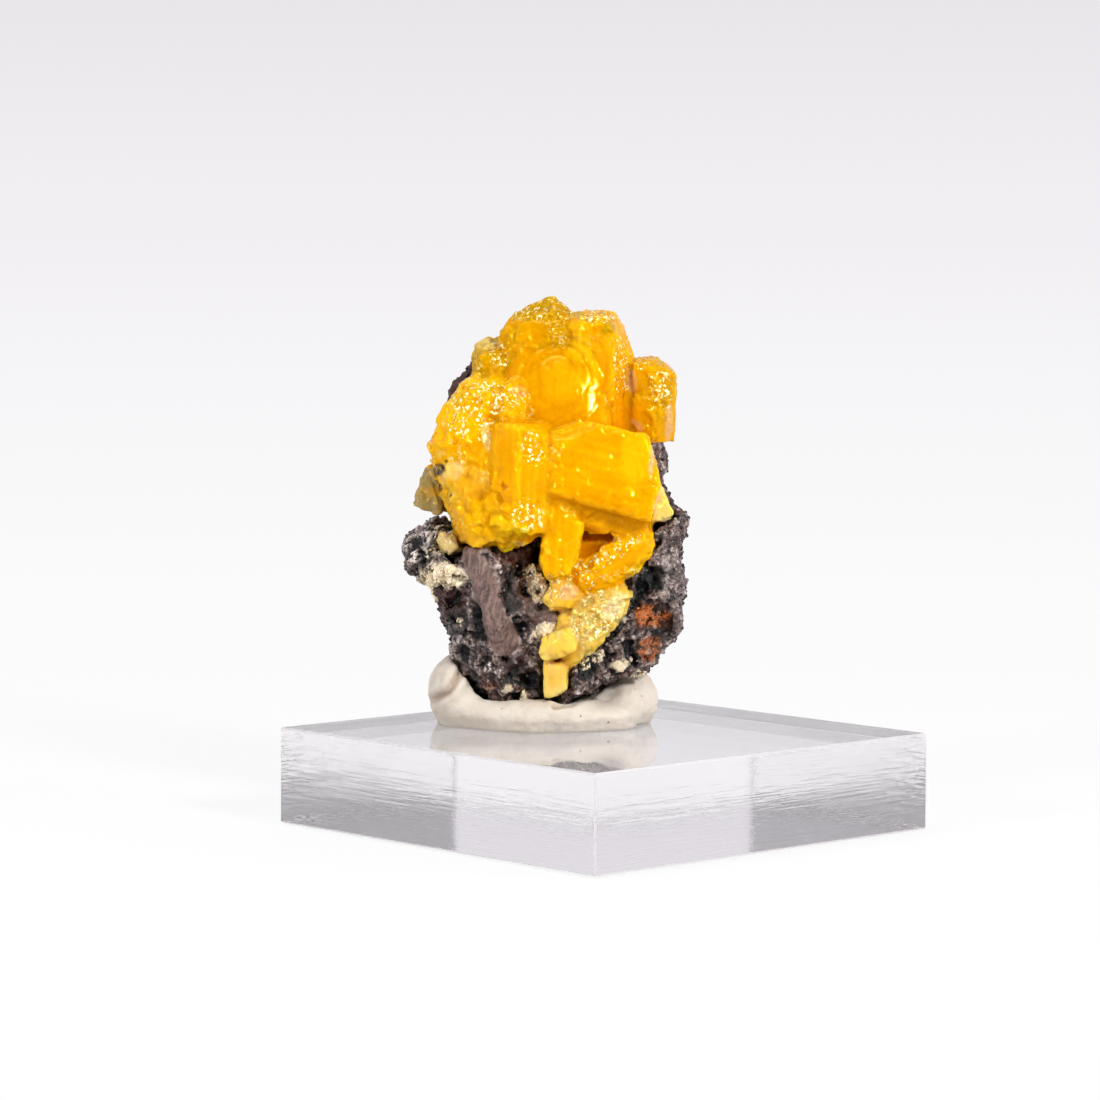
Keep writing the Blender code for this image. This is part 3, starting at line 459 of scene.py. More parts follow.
# A tablet is given by the outline of its outer face in the front view, with the middle of that face
# and the way it looks; a prism by the middle of its end, the way it points and its radius. The last
# entry of each is its habit: how much its growth faces glitter, how far its colour goes to lemon, deep
# amber (on the crystals in shade this is painted shade), olive and pale, how much it is covered by hills,
# lines, rings and facets, and, where a tablet's lines don't go upwards, which way they run.
pyramidAngle = math.radians(39.9)
crystals = {
    "peak": dict(
        outline=((-8.2, 30.6), (-5.0, 30.5), (-1.1, 31.0), (-1.1, 33.0), (-2.1, 34.3), (-4.0, 36.2),
                 (-5.0, 36.2), (-7.7, 35.0), (-8.8, 33.4), (-9.0, 31.0)),
        centre=(-5.1, 0.3, 32.6), face=(-0.05, -0.95, 0.3), length=6.2, bevel=1.5,
        habit=dict(glitter=0.35, deep=0.6, olive=0.35, hills=0.05, facets=0.25)),
    "rightColumn": dict(
        tip=(-0.55, 1.2, 34.6), axis=(-0.02, -0.12, 1.0), radius=2.6, length=13, turn=22, bevel=0.7,
        cuts=(((1.1, 1.2, 33.9), (0.93, -0.25, 0.36)),),
        habit=dict(glitter=0.3, deep=0.1, hills=0.04, lines=0.06, facets=0.2)),
    "dome": dict(
        outline=((-8.2, 23.8), (0.6, 23.8), (0.5, 27.6), (-0.2, 30.0), (-1.9, 31.6), (-4.5, 32.1),
                 (-7.0, 31.5), (-8.2, 29.7), (-8.4, 25.4)),
        centre=(-3.7, -1.0, 28.2), face=(0.03, -0.93, 0.3), length=7.4, bevel=0.7,
        habit=dict(deep=0.55, lines=0.02, facets=0.08)),
    "domeStep": dict(
        outline=((-4.9, 26.0), (-2.5, 25.8), (-0.9, 26.8), (-0.6, 28.6), (-1.3, 30.5), (-2.9, 31.4),
                 (-5.0, 31.1), (-6.2, 29.9), (-6.3, 27.3)),
        centre=(-3.3, -1.6, 28.4), face=(0.03, -0.93, 0.3), length=4, bevel=0.5,
        habit=dict(deep=0.5, lines=0.02)),
    "domeEye": dict(
        outline=((-3.7, 27.2), (-2.2, 27.7), (-1.9, 29.2), (-2.7, 30.6), (-4.0, 30.9), (-5.1, 30.1),
                 (-5.3, 28.1)),
        centre=(-3.5, -2.1, 28.9), face=(0.03, -0.93, 0.3), length=4, bevel=0.4,
        habit=dict(deep=0.35, lines=0.01)),
    "rightPrism": dict(
        tip=(4.1, 1.2, 30.8), axis=(0.02, -0.12, 1.0), radius=1.8, length=6.9, turn=4, bevel=0.5,
        cuts=(((4.5, 1.2, 30.7), (0.62, -0.1, 0.75)),),
        habit=dict(glitter=0.3, deep=0.15, olive=0.4, hills=0.03, lines=0.05, facets=0.25)),
    "upperLeft": dict(
        outline=((-10.8, 29.1), (-9.7, 28.2), (-8.0, 28.6), (-7.8, 30.9), (-8.7, 31.7),
                 (-10.7, 31.5), (-11.2, 30.4)),
        centre=(-9.5, 0.2, 30.0), face=(-0.2, -0.9, 0.35), length=6, bevel=0.6,
        habit=dict(glitter=0.5, deep=0.4, olive=0.65, hills=0.06, facets=0.35)),
    "upperLeftCap": dict(
        outline=((-9.9, 30.1), (-8.0, 30.4), (-8.1, 32.0), (-9.0, 32.8), (-10.0, 32.8),
                 (-10.9, 32.3), (-11.3, 30.9)),
        centre=(-9.7, 2.2, 31.4), face=(-0.1, -0.8, 0.5), length=5, bevel=0.8,
        habit=dict(glitter=0.3, olive=0.9, pale=0.2, hills=0.04, facets=0.25)),
    "leftTablet": dict(
        outline=((-14.6, 22.5), (-13.6, 21.4), (-8.2, 20.5), (-6.0, 24.3), (-6.4, 28.6),
                 (-7.0, 29.3), (-8.9, 29.4), (-11.2, 29.5), (-12.3, 28.9), (-13.7, 26.5),
                 (-14.9, 23.7)),
        centre=(-9.9, -3.2, 24.5), face=(-0.12, -0.95, 0.22), length=9, axis=(0.15, 0.98, 0.0),
        bevel=1.7, habit=dict(glitter=0.5, lemon=0.1, hills=0.08, facets=0.35)),
    "leftTabletBud": dict(
        outline=((-8.4, 26.1), (-7.6, 25.6), (-6.4, 26.3), (-6.3, 28.3), (-6.8, 29.3), (-8.3, 29.0),
                 (-8.6, 27.3)),
        centre=(-7.5, -3.4, 27.3), face=(0.15, -0.85, 0.45), length=5, bevel=0.6,
        habit=dict(glitter=0.5, lemon=0.15, hills=0.07, facets=0.3)),
    "frontPrism": dict(
        tip=(-6.85, -3.2, 25.7), axis=(0.0, 0.03, 1.0), radius=2.3, length=9.0, turn=-4, bevel=0.35,
        habit=dict(glitter=0.15, hills=0.04, lines=0.06, facets=0.12)),
    "lowerLeft": dict(
        outline=((-11.1, 15.5), (-10.0, 15.3), (-7.9, 16.1), (-8.6, 21.8), (-12.5, 22.9),
                 (-13.4, 22.3)),
        centre=(-11.0, -3.4, 18.9), face=(-0.1, -0.98, 0.03), length=3.4, axis=(-0.3, 0.95, 0.02),
        bevel=0.3, habit=dict(glitter=0.35, lemon=0.3, olive=0.1, pale=0.1, hills=0.08, facets=0.5)),
    "lowerMiddle": dict(
        outline=((-11.7, 16.0), (-11.3, 15.3), (-10.2, 15.2), (-8.7, 14.6), (-8.1, 14.7),
                 (-7.2, 15.2), (-6.0, 15.2), (-5.2, 16.4), (-5.2, 20.2), (-8.6, 21.2),
                 (-11.4, 19.7), (-12.2, 17.7)),
        centre=(-8.7, -3.9, 17.7), face=(-0.05, -0.97, -0.05), length=8, bevel=1.2,
        habit=dict(glitter=0.3, lemon=0.6, hills=0.07, facets=0.55)),
    "bigTablet": dict(
        outline=((-4.6, 20.0), (3.8, 17.6), (4.6, 20.7), (4.2, 22.7), (3.5, 24.8), (-1.8, 26.0),
                 (-4.4, 25.2)),
        centre=(0.0, -4.6, 22.5), face=(0.05, -0.97, 0.15), length=9, bevel=0.25,
        habit=dict(glitter=0.1, deep=0.15, hills=0.03, lines=0.04, rings=0.03, facets=0.15,
                   run=(0.96, 0.05, -0.27))),
    "smallPrism": dict(
        outline=((-5.2, 14.4), (-4.7, 12.9), (-2.8, 13.2), (-2.0, 14.9), (-1.7, 17.6), (-2.7, 18.7),
                 (-3.8, 19.4), (-4.6, 19.2)),
        centre=(-3.7, -4.9, 16.2), face=(0.05, -0.97, 0.1), length=6, bevel=0.3,
        habit=dict(glitter=0.15, hills=0.04, lines=0.05, facets=0.25)),
    "smallBlock": dict(
        outline=((-4.4, 10.7), (-3.4, 10.7), (-2.0, 11.6), (-2.7, 12.7), (-3.6, 13.4), (-4.6, 12.7),
                 (-5.3, 11.3)),
        centre=(-3.6, -4.9, 11.9), face=(-0.1, -0.9, 0.2), length=6, bevel=0.4,
        habit=dict(glitter=0.8, lemon=0.2, pale=0.35, hills=0.1, facets=0.6)),
    "rightWing": dict(
        outline=((-2.1, 11.0), (-0.5, 11.0), (0.6, 11.7), (2.4, 12.7), (3.8, 14.3), (4.5, 15.5),
                 (4.3, 16.5), (3.4, 17.3), (0.6, 15.7), (-2.0, 14.1), (-3.1, 12.8)),
        centre=(0.9, -3.4, 13.6), face=(0.15, -0.95, -0.2), length=6, bevel=0.8,
        habit=dict(glitter=0.5, hills=0.07, lines=0.05, facets=0.35, run=(0.86, 0.0, 0.5))),
    "rightHollow": dict(
        outline=((0.6, 14.7), (4.1, 16.3), (3.8, 18.0), (-0.3, 18.7), (-2.0, 16.7), (-2.7, 13.6)),
        centre=(0.6, -1.6, 16.4), face=(-0.15, -0.75, 0.6), length=5, bevel=0.1,
        habit=dict(glitter=0.1, deep=0.4, hills=0.04, facets=0.2)),
    "longPrism": dict(
        outline=((-3.4, 10.2), (-3.9, 8.5), (-4.0, 6.9), (-2.6, 5.2), (-0.3, 7.2), (1.2, 8.7),
                 (2.4, 11.3), (1.9, 12.5), (-0.4, 11.7), (-2.2, 11.2)),
        centre=(-0.7, -3.6, 9.1), face=(0.1, -0.95, -0.05), length=6, bevel=0.7,
        habit=dict(glitter=0.7, olive=0.45, lemon=0.6, pale=0.45, hills=0.08, lines=0.08, facets=0.7,
                   run=(0.66, 0.0, 0.75))),
    "longPrismEnd": dict(
        outline=((-5.4, 6.6), (-4.7, 5.9), (-3.6, 6.5), (-2.4, 7.0), (-2.6, 8.9), (-3.9, 8.7),
                 (-5.2, 7.9)),
        centre=(-3.9, -4.3, 7.4), face=(-0.25, -0.95, -0.1), length=5, bevel=0.15,
        habit=dict(glitter=0.3, lemon=1.3, pale=0.5, hills=0.03, facets=0.15)),
    "footPrism": dict(
        outline=((-5.1, 4.5), (-5.0, 2.8), (-3.9, 3.0), (-2.9, 3.7), (-2.9, 5.7), (-5.0, 6.2)),
        centre=(-3.9, -3.2, 4.4), face=(-0.1, -0.98, -0.05), length=4, bevel=0.3,
        habit=dict(glitter=0.4, lemon=0.9, pale=0.85, hills=0.04, lines=0.04, facets=0.15)),
    "rightChip": dict(
        outline=((4.1, 17.4), (5.7, 17.6), (5.9, 18.2), (4.6, 20.9), (4.1, 21.1)),
        centre=(4.7, -1.5, 18.6), face=(0.3, -0.93, 0.1), length=4, bevel=0.2,
        habit=dict(glitter=0.3, lemon=0.6, pale=0.8, hills=0.06, facets=0.4)),
    "underShade": dict(  # added to the node's shape: it closes the hollow under the big tablet
        outline=((-5.0, 20.2), (-5.0, 18.6), (-3.4, 17.6), (-1.4, 16.5), (1.4, 16.2), (3.7, 17.0),
                 (3.7, 18.4), (-0.6, 19.9)),
        centre=(-1.0, -3.9, 18.2), face=(0.0, -0.9, -0.44), length=3, bevel=0.2,
        habit=dict(glitter=0.2, deep=0.4, hills=0.04, facets=0.4)),
    "heart": dict(
        outline=((-10.3, 29.7), (-12.8, 26.4), (-12.8, 20.6), (-9.4, 16.5), (-3.6, 12.8),
                 (3.0, 16.5), (3.8, 20.7), (2.9, 28.2), (-0.4, 32.3), (-7.9, 31.8)),
        centre=(-4.1, 1.5, 24.0), face=(0, -1, 0), length=5, bevel=0.2,
        habit=dict(glitter=0.3, deep=0.5, hills=0.08, facets=0.4)),
}


def prismPlanes(tip, axis, radius, length, turn, bevel, cuts=()):
    out = unit(axis)
    side = unit(np.array((1.0, 0, 0)) - out * out[0])
    up = np.cross(out, side)
    tip = np.array(tip)
    planes = [(tip, out), (tip - out * length, -out)]
    s, c = math.sin(pyramidAngle), math.cos(pyramidAngle)
    for k in range(6):
        a = math.radians(60 * k + turn)
        normal = side * math.cos(a) + up * math.sin(a)
        planes += [(tip + normal * radius, normal), (tip + normal * (radius - bevel), normal * s + out * c)]
    return planes + [(np.array(point), unit(normal)) for point, normal in cuts]


def tabletPlanes(outline, centre, face, length, bevel, axis=None):
    out, centre = unit(face), np.array(centre, float)
    back = -out if axis is None else unit(axis)
    corners = [np.array((x, centre[1] - (out[0] * (x - centre[0]) + out[2] * (z - centre[2])) / out[1], z))
               for x, z in outline]
    planes = [(centre, out), (centre - out * length, -out)]
    s, c = math.sin(pyramidAngle), math.cos(pyramidAngle)
    for here, there in zip(corners, corners[1:] + corners[:1]):
        inward = unit(np.cross(there - here, out))
        planes += [(here, unit(np.cross(there - here, -back))),
                   (here - inward * bevel, inward * s + out * c)]
    return planes


def crystalPlanes(values):
    # a point on each of the crystal's faces, and the way the face looks
    shape = {name: value for name, value in values.items() if name != "habit"}
    return tabletPlanes(**shape) if "outline" in shape else prismPlanes(**shape)


def enclosedCorners(planes):
    # the corners of the space that the planes enclose
    normals = np.array([normal for _, normal in planes])
    offsets = np.array([normal @ point for point, normal in planes])
    corners = []
    for three in itertools.combinations(range(len(planes)), 3):
        block = normals[list(three)]
        if abs(np.linalg.det(block)) > 1e-4:
            corner = np.linalg.solve(block, offsets[list(three)])
            if (normals @ corner - offsets).max() < 1e-6:
                corners.append(corner)
    return np.unique(np.round(corners, 4), axis=0)


def crystalFacts(places):
    # For each point: its crystal, how far the next crystal is, which face it is on, how far that face's
    # edge is and how far its crystal's sides are, and how far it is outside the crystals.
    best = np.full(len(places), 1e9)
    following = np.full(len(places), 1e9)
    owner = np.zeros(len(places), int)
    edge = np.zeros(len(places))
    kind = np.zeros(len(places), int)
    rim = np.zeros(len(places))
    for i, values in enumerate(crystals.values()):
        planes = crystalPlanes(values)
        normals = np.array([normal for _, normal in planes])
        offsets = np.array([normal @ point for point, normal in planes])
        depth = places @ normals.T - offsets
        top = np.sort(depth, 1)[:, -2:]
        sides = depth[:, 2:2 + 2 * ((len(planes) - 2) // 2):2].max(1)
        closer = top[:, 1] < best
        following = np.where(closer, best, np.minimum(following, top[:, 1]))
        owner[closer] = i
        edge[closer] = (top[:, 1] - top[:, 0])[closer]
        kind[closer] = depth.argmax(1)[closer]
        rim[closer] = -sides[closer]
        best = np.minimum(best, top[:, 1])
    return owner, following, kind, edge, rim, best


def alongAxis(places, owner):
    # stretches the pattern along each crystal's own growth lines
    stretched = places.copy()
    for i, values in enumerate(crystals.values()):
        own = owner == i
        out = unit(values["axis"] if "tip" in values else values["habit"].get("run", (0.05, 0.1, 1.0)))
        stretched[own] -= np.outer(places[own] @ out, out) * 0.93
    return stretched


crystalSkin = {  # sizes in mm
    "voxel": 0.165,         # keeps the piece under 200,000 triangles
    "rounding": 2,          # rounds of smoothing everywhere
    "softening": 40,        # more of them where crystals flow into each other
    "melting": 140,         # and where one can hardly be told from the next
    "domeRings": ((-4.05, 29.6, 1.55, 0.06), (-4.05, 29.4, 2.75, 0.07), (-4.2, 28.8, 4.1, 0.07)),
    "ringWidth": 0.14,      # each ring is given by x, height, radius and depth
    "swell": (3.0, 0.16),   # size and height of the slow waves on the faces
    "facets": (1.25, 0.8),  # size and steepness of small faces
    "hills": (0.5, 0.15, 0.2),  # size of growth hills, their height by habit, and more where it glitters
    "lumps": (1.4, 0.3),    # size and height of lumps on the lumpy crystals
    "lumpFacets": (1.0, 0.9),
    "lines": 0.4,           # spacing of growth lines
    "steps": 0.55,          # width of growth steps
    # the seam's reach also sets where its colour is painted darker as shade
    "seamGrooveAndShade": (0.42, 0.03),   # how far the seam between two crystals reaches, and its depth
    "chips": (0.35, 0.2),   # how far chips reach in from an edge, and their depth
    # the deeper colour near a seam is painted shade
    "shadedValley": (1.1, 0.35),  # how far from a seam the colour is deeper, and how much
}
# Places where crystals run together. Here and in the other lists of patches, each is given by x, height,
# half width, half height, tilt and strength, in mm and degrees.
crystalFlow = {
    "soft": ((-3.7, 29.0, 4.8, 4.2, 0, 0.85), (-1.6, 32.4, 1.0, 2.2, 0, 0.8),
             (-9.6, 17.6, 3.2, 2.4, 0, 0.9), (-12.3, 27.0, 2.0, 3.0, 0, 0.8),
             (-9.2, 29.4, 1.6, 1.2, 0, 0.6), (-5.0, 35.6, 3.2, 1.0, 0, 0.7),
             (1.4, 34.3, 1.6, 1.3, 0, 1.0), (4.8, 30.6, 1.2, 1.0, 0, 0.8),
             (-4.5, 17.2, 1.0, 2.0, 0, 0.6)),
    "melted": ((-9.1, 21.6, 1.1, 4.4, 0, 0.95), (-8.6, 16.9, 2.4, 1.5, 0, 0.6),
               (-9.0, 27.9, 1.0, 1.4, 0, 0.7), (-1.3, 32.3, 0.9, 2.0, 10, 0.7),
               (-12.6, 22.6, 1.6, 0.8, 0, 0.7), (-7.4, 31.2, 1.0, 1.2, 0, 0.6),
               (1.1, 34.6, 1.0, 0.9, 0, 0.8), (-3.6, 28.6, 3.9, 3.4, 0, 0.85),
               (-2.0, 33.6, 1.2, 1.0, 0, 0.6)),
    # the dome's steps are lower than the tablets they start from
    "low": ((-3.6, 28.6, 4.4, 4.2, 0, 0.5),),
}
crystalPatches = {
    "lumpy": ((-10.6, 18.6, 3.2, 3.4, 0, 1.0), (-8.2, 16.0, 2.8, 1.6, 0, 1.0),
              (-11.6, 25.6, 3.2, 3.2, 0, 0.55), (1.0, 13.6, 3.4, 1.2, 31, 0.5),
              (-0.7, 9.2, 2.8, 2.0, 40, 0.3), (-9.6, 30.2, 2.0, 1.6, 0, 0.6),
              (-5.0, 35.0, 3.6, 1.3, 0, 0.4), (4.6, 28.0, 1.4, 2.4, 0, 0.3)),
    "glitter": ((-5.0, 34.9, 3.5, 1.1, 0, 0.6), (-0.5, 34.2, 1.4, 0.6, 0, 0.9),
                (1.4, 30.2, 0.8, 2.9, 0, 0.7), (3.1, 30.5, 0.6, 0.6, 0, 0.9),
                (4.6, 28.0, 1.1, 2.0, 0, 0.8), (-8.8, 31.2, 0.8, 1.2, 30, 0.8),
                (-10.1, 27.5, 3.6, 1.5, 0, 1.0), (-12.1, 25.0, 0.9, 1.4, 0, 1.0),
                (-9.9, 24.8, 0.6, 1.8, 8, 1.0), (-5.9, 23.2, 0.9, 1.5, 0, 0.8),
                (-6.3, 17.8, 1.4, 1.4, 0, 1.0), (-3.9, 23.0, 0.8, 1.2, 0, 0.4),
                (0.0, 14.4, 3.9, 0.7, 31, 0.8), (-3.8, 12.2, 1.1, 1.1, 0, 1.0),
                (-0.6, 9.6, 2.6, 1.8, 40, 1.0)),
    "olive": ((-5.0, 35.0, 3.7, 1.2, 0, 0.55), (0.3, 33.2, 0.7, 0.6, 0, 0.7),
              (-9.4, 30.2, 1.4, 1.3, 0, 0.4), (-0.7, 9.2, 2.0, 1.4, 45, 0.5),
              (-12.6, 19.5, 1.1, 1.2, 0, 0.3)),
    # the narrow stripe at x -9.7 is a painted highlight; the others are pale colour
    "pale": ((-9.9, 32.1, 1.4, 0.5, -8, 0.4), (-12.4, 21.5, 1.1, 0.8, 10, 0.45),
             (0.9, 10.4, 1.3, 0.9, 50, 0.9), (4.9, 18.4, 0.9, 0.9, 0, 0.5),
             (-9.7, 24.3, 0.35, 1.3, 8, 0.5), (-2.4, 8.4, 0.3, 1.3, 20, 0.6)),
    # painted reflection: narrow pinkish patches stand for flat faces mirroring the light
    "paintedPinkSheen": ((2.2, 29.0, 0.4, 1.2, 6, 0.55), (5.3, 25.6, 0.35, 1.7, 0, 0.6),
             (2.7, 25.3, 0.8, 0.3, -45, 0.5), (-14.0, 19.2, 0.33, 1.9, 24, 0.85),
             (-7.0, 15.3, 0.6, 0.35, 0, 0.5), (3.9, 22.5, 0.3, 1.7, -8, 0.7),
             (-3.0, 11.5, 0.8, 0.6, 20, 0.6), (-7.2, 28.0, 0.7, 0.5, 0, 0.3)),
    # painted shade where the crystals shade each other: under the big tablet, in the hollow above the right
    # wing, under the dome's rim and between the lower crystals
    "deep": ((-4.1, 26.0, 2.0, 0.9, 0, 0.8), (-0.6, 18.2, 4.3, 1.1, -14, 0.75),
             (-0.7, 15.6, 1.9, 0.8, 25, 0.5), (-1.0, 11.8, 1.6, 1.0, 10, 0.6),
             (-5.5, 31.6, 3.4, 0.7, 0, 0.55), (-10.5, 22.8, 1.2, 1.6, 0, 0.35)),
    "lemon": ((-2.0, 31.0, 1.2, 2.6, 15, 0.8), (-3.9, 29.0, 1.4, 1.5, 0, 0.5),
              (2.6, 22.4, 1.4, 2.0, 0, 0.5), (-8.5, 16.4, 2.6, 1.5, 0, 0.85),
              (-11.3, 25.0, 1.4, 1.0, 0, 0.4), (-10.4, 17.6, 2.0, 1.8, 0, 0.55)),
    "dirt": ((-13.7, 21.5, 0.75, 0.5, 20, 1.0), (-13.9, 20.3, 0.5, 0.4, 0, 0.9),
             (-13.5, 19.9, 0.22, 0.2, 0, 0.8), (-12.6, 19.4, 0.13, 0.13, 0, 0.9),
             (-13.0, 22.2, 0.2, 0.14, 0, 0.9)),
}


def makeCrystalCluster():
    filler = enclosedCorners(crystalPlanes(crystals["underShade"]))
    piece = remeshed(mergedCopy("crystal_cluster", [filler]), "crystalCluster", crystalSkin["voxel"])
    mesh = piece.data
    places = placesOf(mesh)
    owner, following, kind, edge, rim, _ = crystalFacts(places)
    front = ramp(-normalsOf(mesh)[:, 1], -0.6, 0.2)
    uneven = grainField(places, 2.0, 5.5) * 0.3
    # Crystals grow out of each other, so the valleys between them are filled a little. The small ones
    # low down stay sharp.
    joint = ramp(following, 0.5, 0.05) * ramp(places[:, 2], 9.0, 12.0)
    soft = np.maximum(patches(places, crystalFlow["soft"], uneven, front), joint * 0.6)
    melted = patches(places, crystalFlow["melted"], uneven, front)
    crisp = relaxed(mesh, places, crystalSkin["rounding"])
    blunt = relaxed(mesh, crisp, crystalSkin["softening"])
    flowing = relaxed(mesh, blunt, crystalSkin["melting"])
    places = crisp + (blunt - crisp) * soft[:, None]
    places = places + (flowing - places) * melted[:, None]
    outward = unit(crystals["dome"]["face"])
    proud = np.maximum((places - crystals["dome"]["centre"]) @ outward, 0)
    low = patches(places, crystalFlow["low"], uneven * 0.3, front)
    places = places - np.outer(proud * low, outward)
    setPlaces(mesh, places)
    normals = normalsOf(mesh)
    habits = [values["habit"] for values in crystals.values()]
    perCrystal = {
        key: np.array([habit.get(key, 0.0) for habit in habits])[owner]
        for key in ("glitter", "lemon", "deep", "olive", "pale", "hills", "lines", "rings", "facets")}
    slow = grainField(places, 1.6, 11.3)
    quick = grainField(places, 0.5, 4.7)
    ragged = slow * 0.35 + quick * 0.3
    facing = ramp(-normals[:, 1], -0.35, 0.1)
    masks = {name: patches(places, spots, ragged, facing) for name, spots in crystalPatches.items()}
    reach, seamDepth = crystalSkin["seamGrooveAndShade"]
    # a groove along the seam between two crystals; the same mask paints the seam darker as shade
    seamGrooveAndShade = ramp(following, reach, 0.08) * (1 - np.maximum(melted, soft * 0.6))
    rings = np.zeros(len(places))
    x, h = places[:, 0], heightInView(places)
    for cx, ch, radius, depth in crystalSkin["domeRings"]:
        far = np.hypot(x - cx, (h - ch) * 1.05) + slow * 0.12
        upper = ramp(h, ch - radius * 0.9, ch + radius * 0.3)  # the rings fade out below
        rings += depth * np.exp(-((far - radius) / crystalSkin["ringWidth"]) ** 2) * upper * front
    glitter = np.clip(np.maximum(perCrystal["glitter"] * ramp(slow, -0.3, 0.5) * 1.3, masks["glitter"]), 0, 1)
    size, height = crystalSkin["swell"]
    lift = grainField(places, size) * height
    size, steepness = crystalSkin["facets"]
    lift = lift + facetField(places, size, 4.4) * perCrystal["facets"] * steepness
    size, height, glitterHeight = crystalSkin["hills"]
    hills = (0.42 - cellField(places, size)) * (perCrystal["hills"] * height + glitter * glitterHeight)
    size, height = crystalSkin["lumps"]
    lumps = (0.45 - cellField(places, size, 6.6)) * height
    size, steepness = crystalSkin["lumpFacets"]
    lumps = lumps + facetField(places, size, 6.6) * steepness
    hills = hills + lumps * masks["lumpy"]
    streaks = grainField(alongAxis(places, owner), crystalSkin["lines"], 2.2)
    lines = streaks * perCrystal["lines"]
    steps = rim / crystalSkin["steps"] + slow * 0.4
    terraces = (steps % 1.0 - 0.5) * perCrystal["rings"] * (kind == 0) * (1 - soft)
    reach, depth = crystalSkin["chips"]
    chips = ramp(edge, reach, 0.0) * ramp(quick + slow * 0.5, 0.0, 0.5) * depth
    chips = chips * (1 - np.maximum(melted, soft))
    lift = lift + hills + lines + terraces - rings - chips - seamGrooveAndShade * seamDepth
    setPlaces(mesh, places + normals * lift[:, None])
    # painted shade: the colour goes deeper near a seam, where the crystals shade each other
    reach, strength = crystalSkin["shadedValley"]
    shadedValley = ramp(following, reach, 0.1) * strength
    # painted shade: the deep colour is laid into the dome's ring grooves and near seams
    shades = {"lemon": ramp(streaks, 0.1, 0.5) * 0.2 + ramp(edge, 0.3, 0.0) * 0.35 * (1 - shadedValley),
              "deep": ramp(streaks, -0.05, -0.5) * 0.25 + rings * 5 + shadedValley}
    for name in ("lemon", "deep", "olive", "pale"):
        base = perCrystal[name] * np.clip(0.75 + slow * 0.6, 0, 1) + shades.get(name, 0.0)
        setMask(mesh, name, np.maximum(base, masks[name]))
    setMask(mesh, "glitter", glitter)
    setMask(mesh, "paintedPinkSheen", masks["paintedPinkSheen"])
    setMask(mesh, "dirt", masks["dirt"] * ramp(quick, -0.6, 0.0))
    setMask(mesh, "seamGrooveAndShade", seamGrooveAndShade * 0.7)
    dress(mesh, resinousMimetite)
    return piece


crystalCluster = makeCrystalCluster()
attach(crystalCluster, "root")
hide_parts("crystal_cluster")
print("crystal cluster:", len(crystalCluster.data.polygons), "faces")


def scatterTree(name, mask, shape, material):
    # strews small solids over a skin, where the mask is strong; each gets its own turn, size and tone
    tree = bpy.data.node_groups.new(name, "GeometryNodeTree")
    tree.interface.new_socket("Skin", in_out="INPUT", socket_type="NodeSocketGeometry")
    sockets = {}
    inputs = {"Per square mm": "Float", "Smallest": "Float", "Largest": "Float", "Seed": "Int"}
    for label, kind in inputs.items():
        socket = tree.interface.new_socket(label, in_out="INPUT", socket_type="NodeSocket" + kind)
        sockets[label] = socket.identifier
    tree.interface.new_socket("Grains", in_out="OUTPUT", socket_type="NodeSocketGeometry")
    given = addNode(tree, "NodeGroupInput").outputs
    density = addNode(tree, "ShaderNodeMath", {0: given["Per square mm"], 1: 1e6}, operation="MULTIPLY")
    where = addNode(tree, "GeometryNodeInputNamedAttribute", {"Name": mask}, data_type="FLOAT").outputs[0]
    local = addNode(tree, "ShaderNodeMath", {0: density.outputs[0], 1: where}, operation="MULTIPLY").outputs[0]
    points = addNode(tree, "GeometryNodeDistributePointsOnFaces",
                     {"Mesh": given["Skin"], "Density": local, "Seed": given["Seed"]})
    spin = addNode(tree, "FunctionNodeRandomValue", {0: (-3.1, -3.1, -3.1), 1: (3.1, 3.1, 3.1),
                                                     "Seed": given["Seed"]}, data_type="FLOAT_VECTOR")
    spun = addNode(tree, "FunctionNodeEulerToRotation", {0: spin.outputs[0]})
    turned = addNode(tree, "FunctionNodeRotateRotation",
                     {0: points.outputs["Rotation"], 1: spun.outputs[0]}, rotation_space="LOCAL")
    size = addNode(tree, "FunctionNodeRandomValue", {2: given["Smallest"], 3: given["Largest"],
                                                     "Seed": given["Seed"]}, data_type="FLOAT")
    squeeze = addNode(tree, "FunctionNodeRandomValue", {0: (0.7, 0.7, 0.7), 1: (1.3, 1.3, 1.2), "Seed": 5},
                      data_type="FLOAT_VECTOR")
    scale = addNode(tree, "ShaderNodeVectorMath", {0: squeeze.outputs[0], "Scale": size.outputs[1]},
                    operation="SCALE")
    solid = shape(tree)
    placed = addNode(tree, "GeometryNodeInstanceOnPoints", {
        "Points": points.outputs["Points"], "Instance": solid, "Rotation": turned.outputs[0],
        "Scale": scale.outputs[0]})
    tone = addNode(tree, "FunctionNodeRandomValue", {"Seed": 11}, data_type="FLOAT")
    toned = addNode(tree, "GeometryNodeStoreNamedAttribute",
                    {"Geometry": placed.outputs[0], "Name": "tone", "Value": tone.outputs[1]},
                    data_type="FLOAT", domain="INSTANCE")
    real = addNode(tree, "GeometryNodeRealizeInstances", {0: toned.outputs[0]})
    dressed = addNode(tree, "GeometryNodeSetMaterial", {"Geometry": real.outputs[0], "Material": material})
    addNode(tree, "NodeGroupOutput", {0: dressed.outputs[0]})
    return tree, sockets


def grainShape(tree):
    return addNode(tree, "GeometryNodeMeshIcoSphere", {"Radius": 1.0, "Subdivisions": 1}).outputs[0]


def chipShape(tree):
    return addNode(tree, "GeometryNodeMeshCube", {"Size": (1.6, 1.1, 0.9)}).outputs[0]


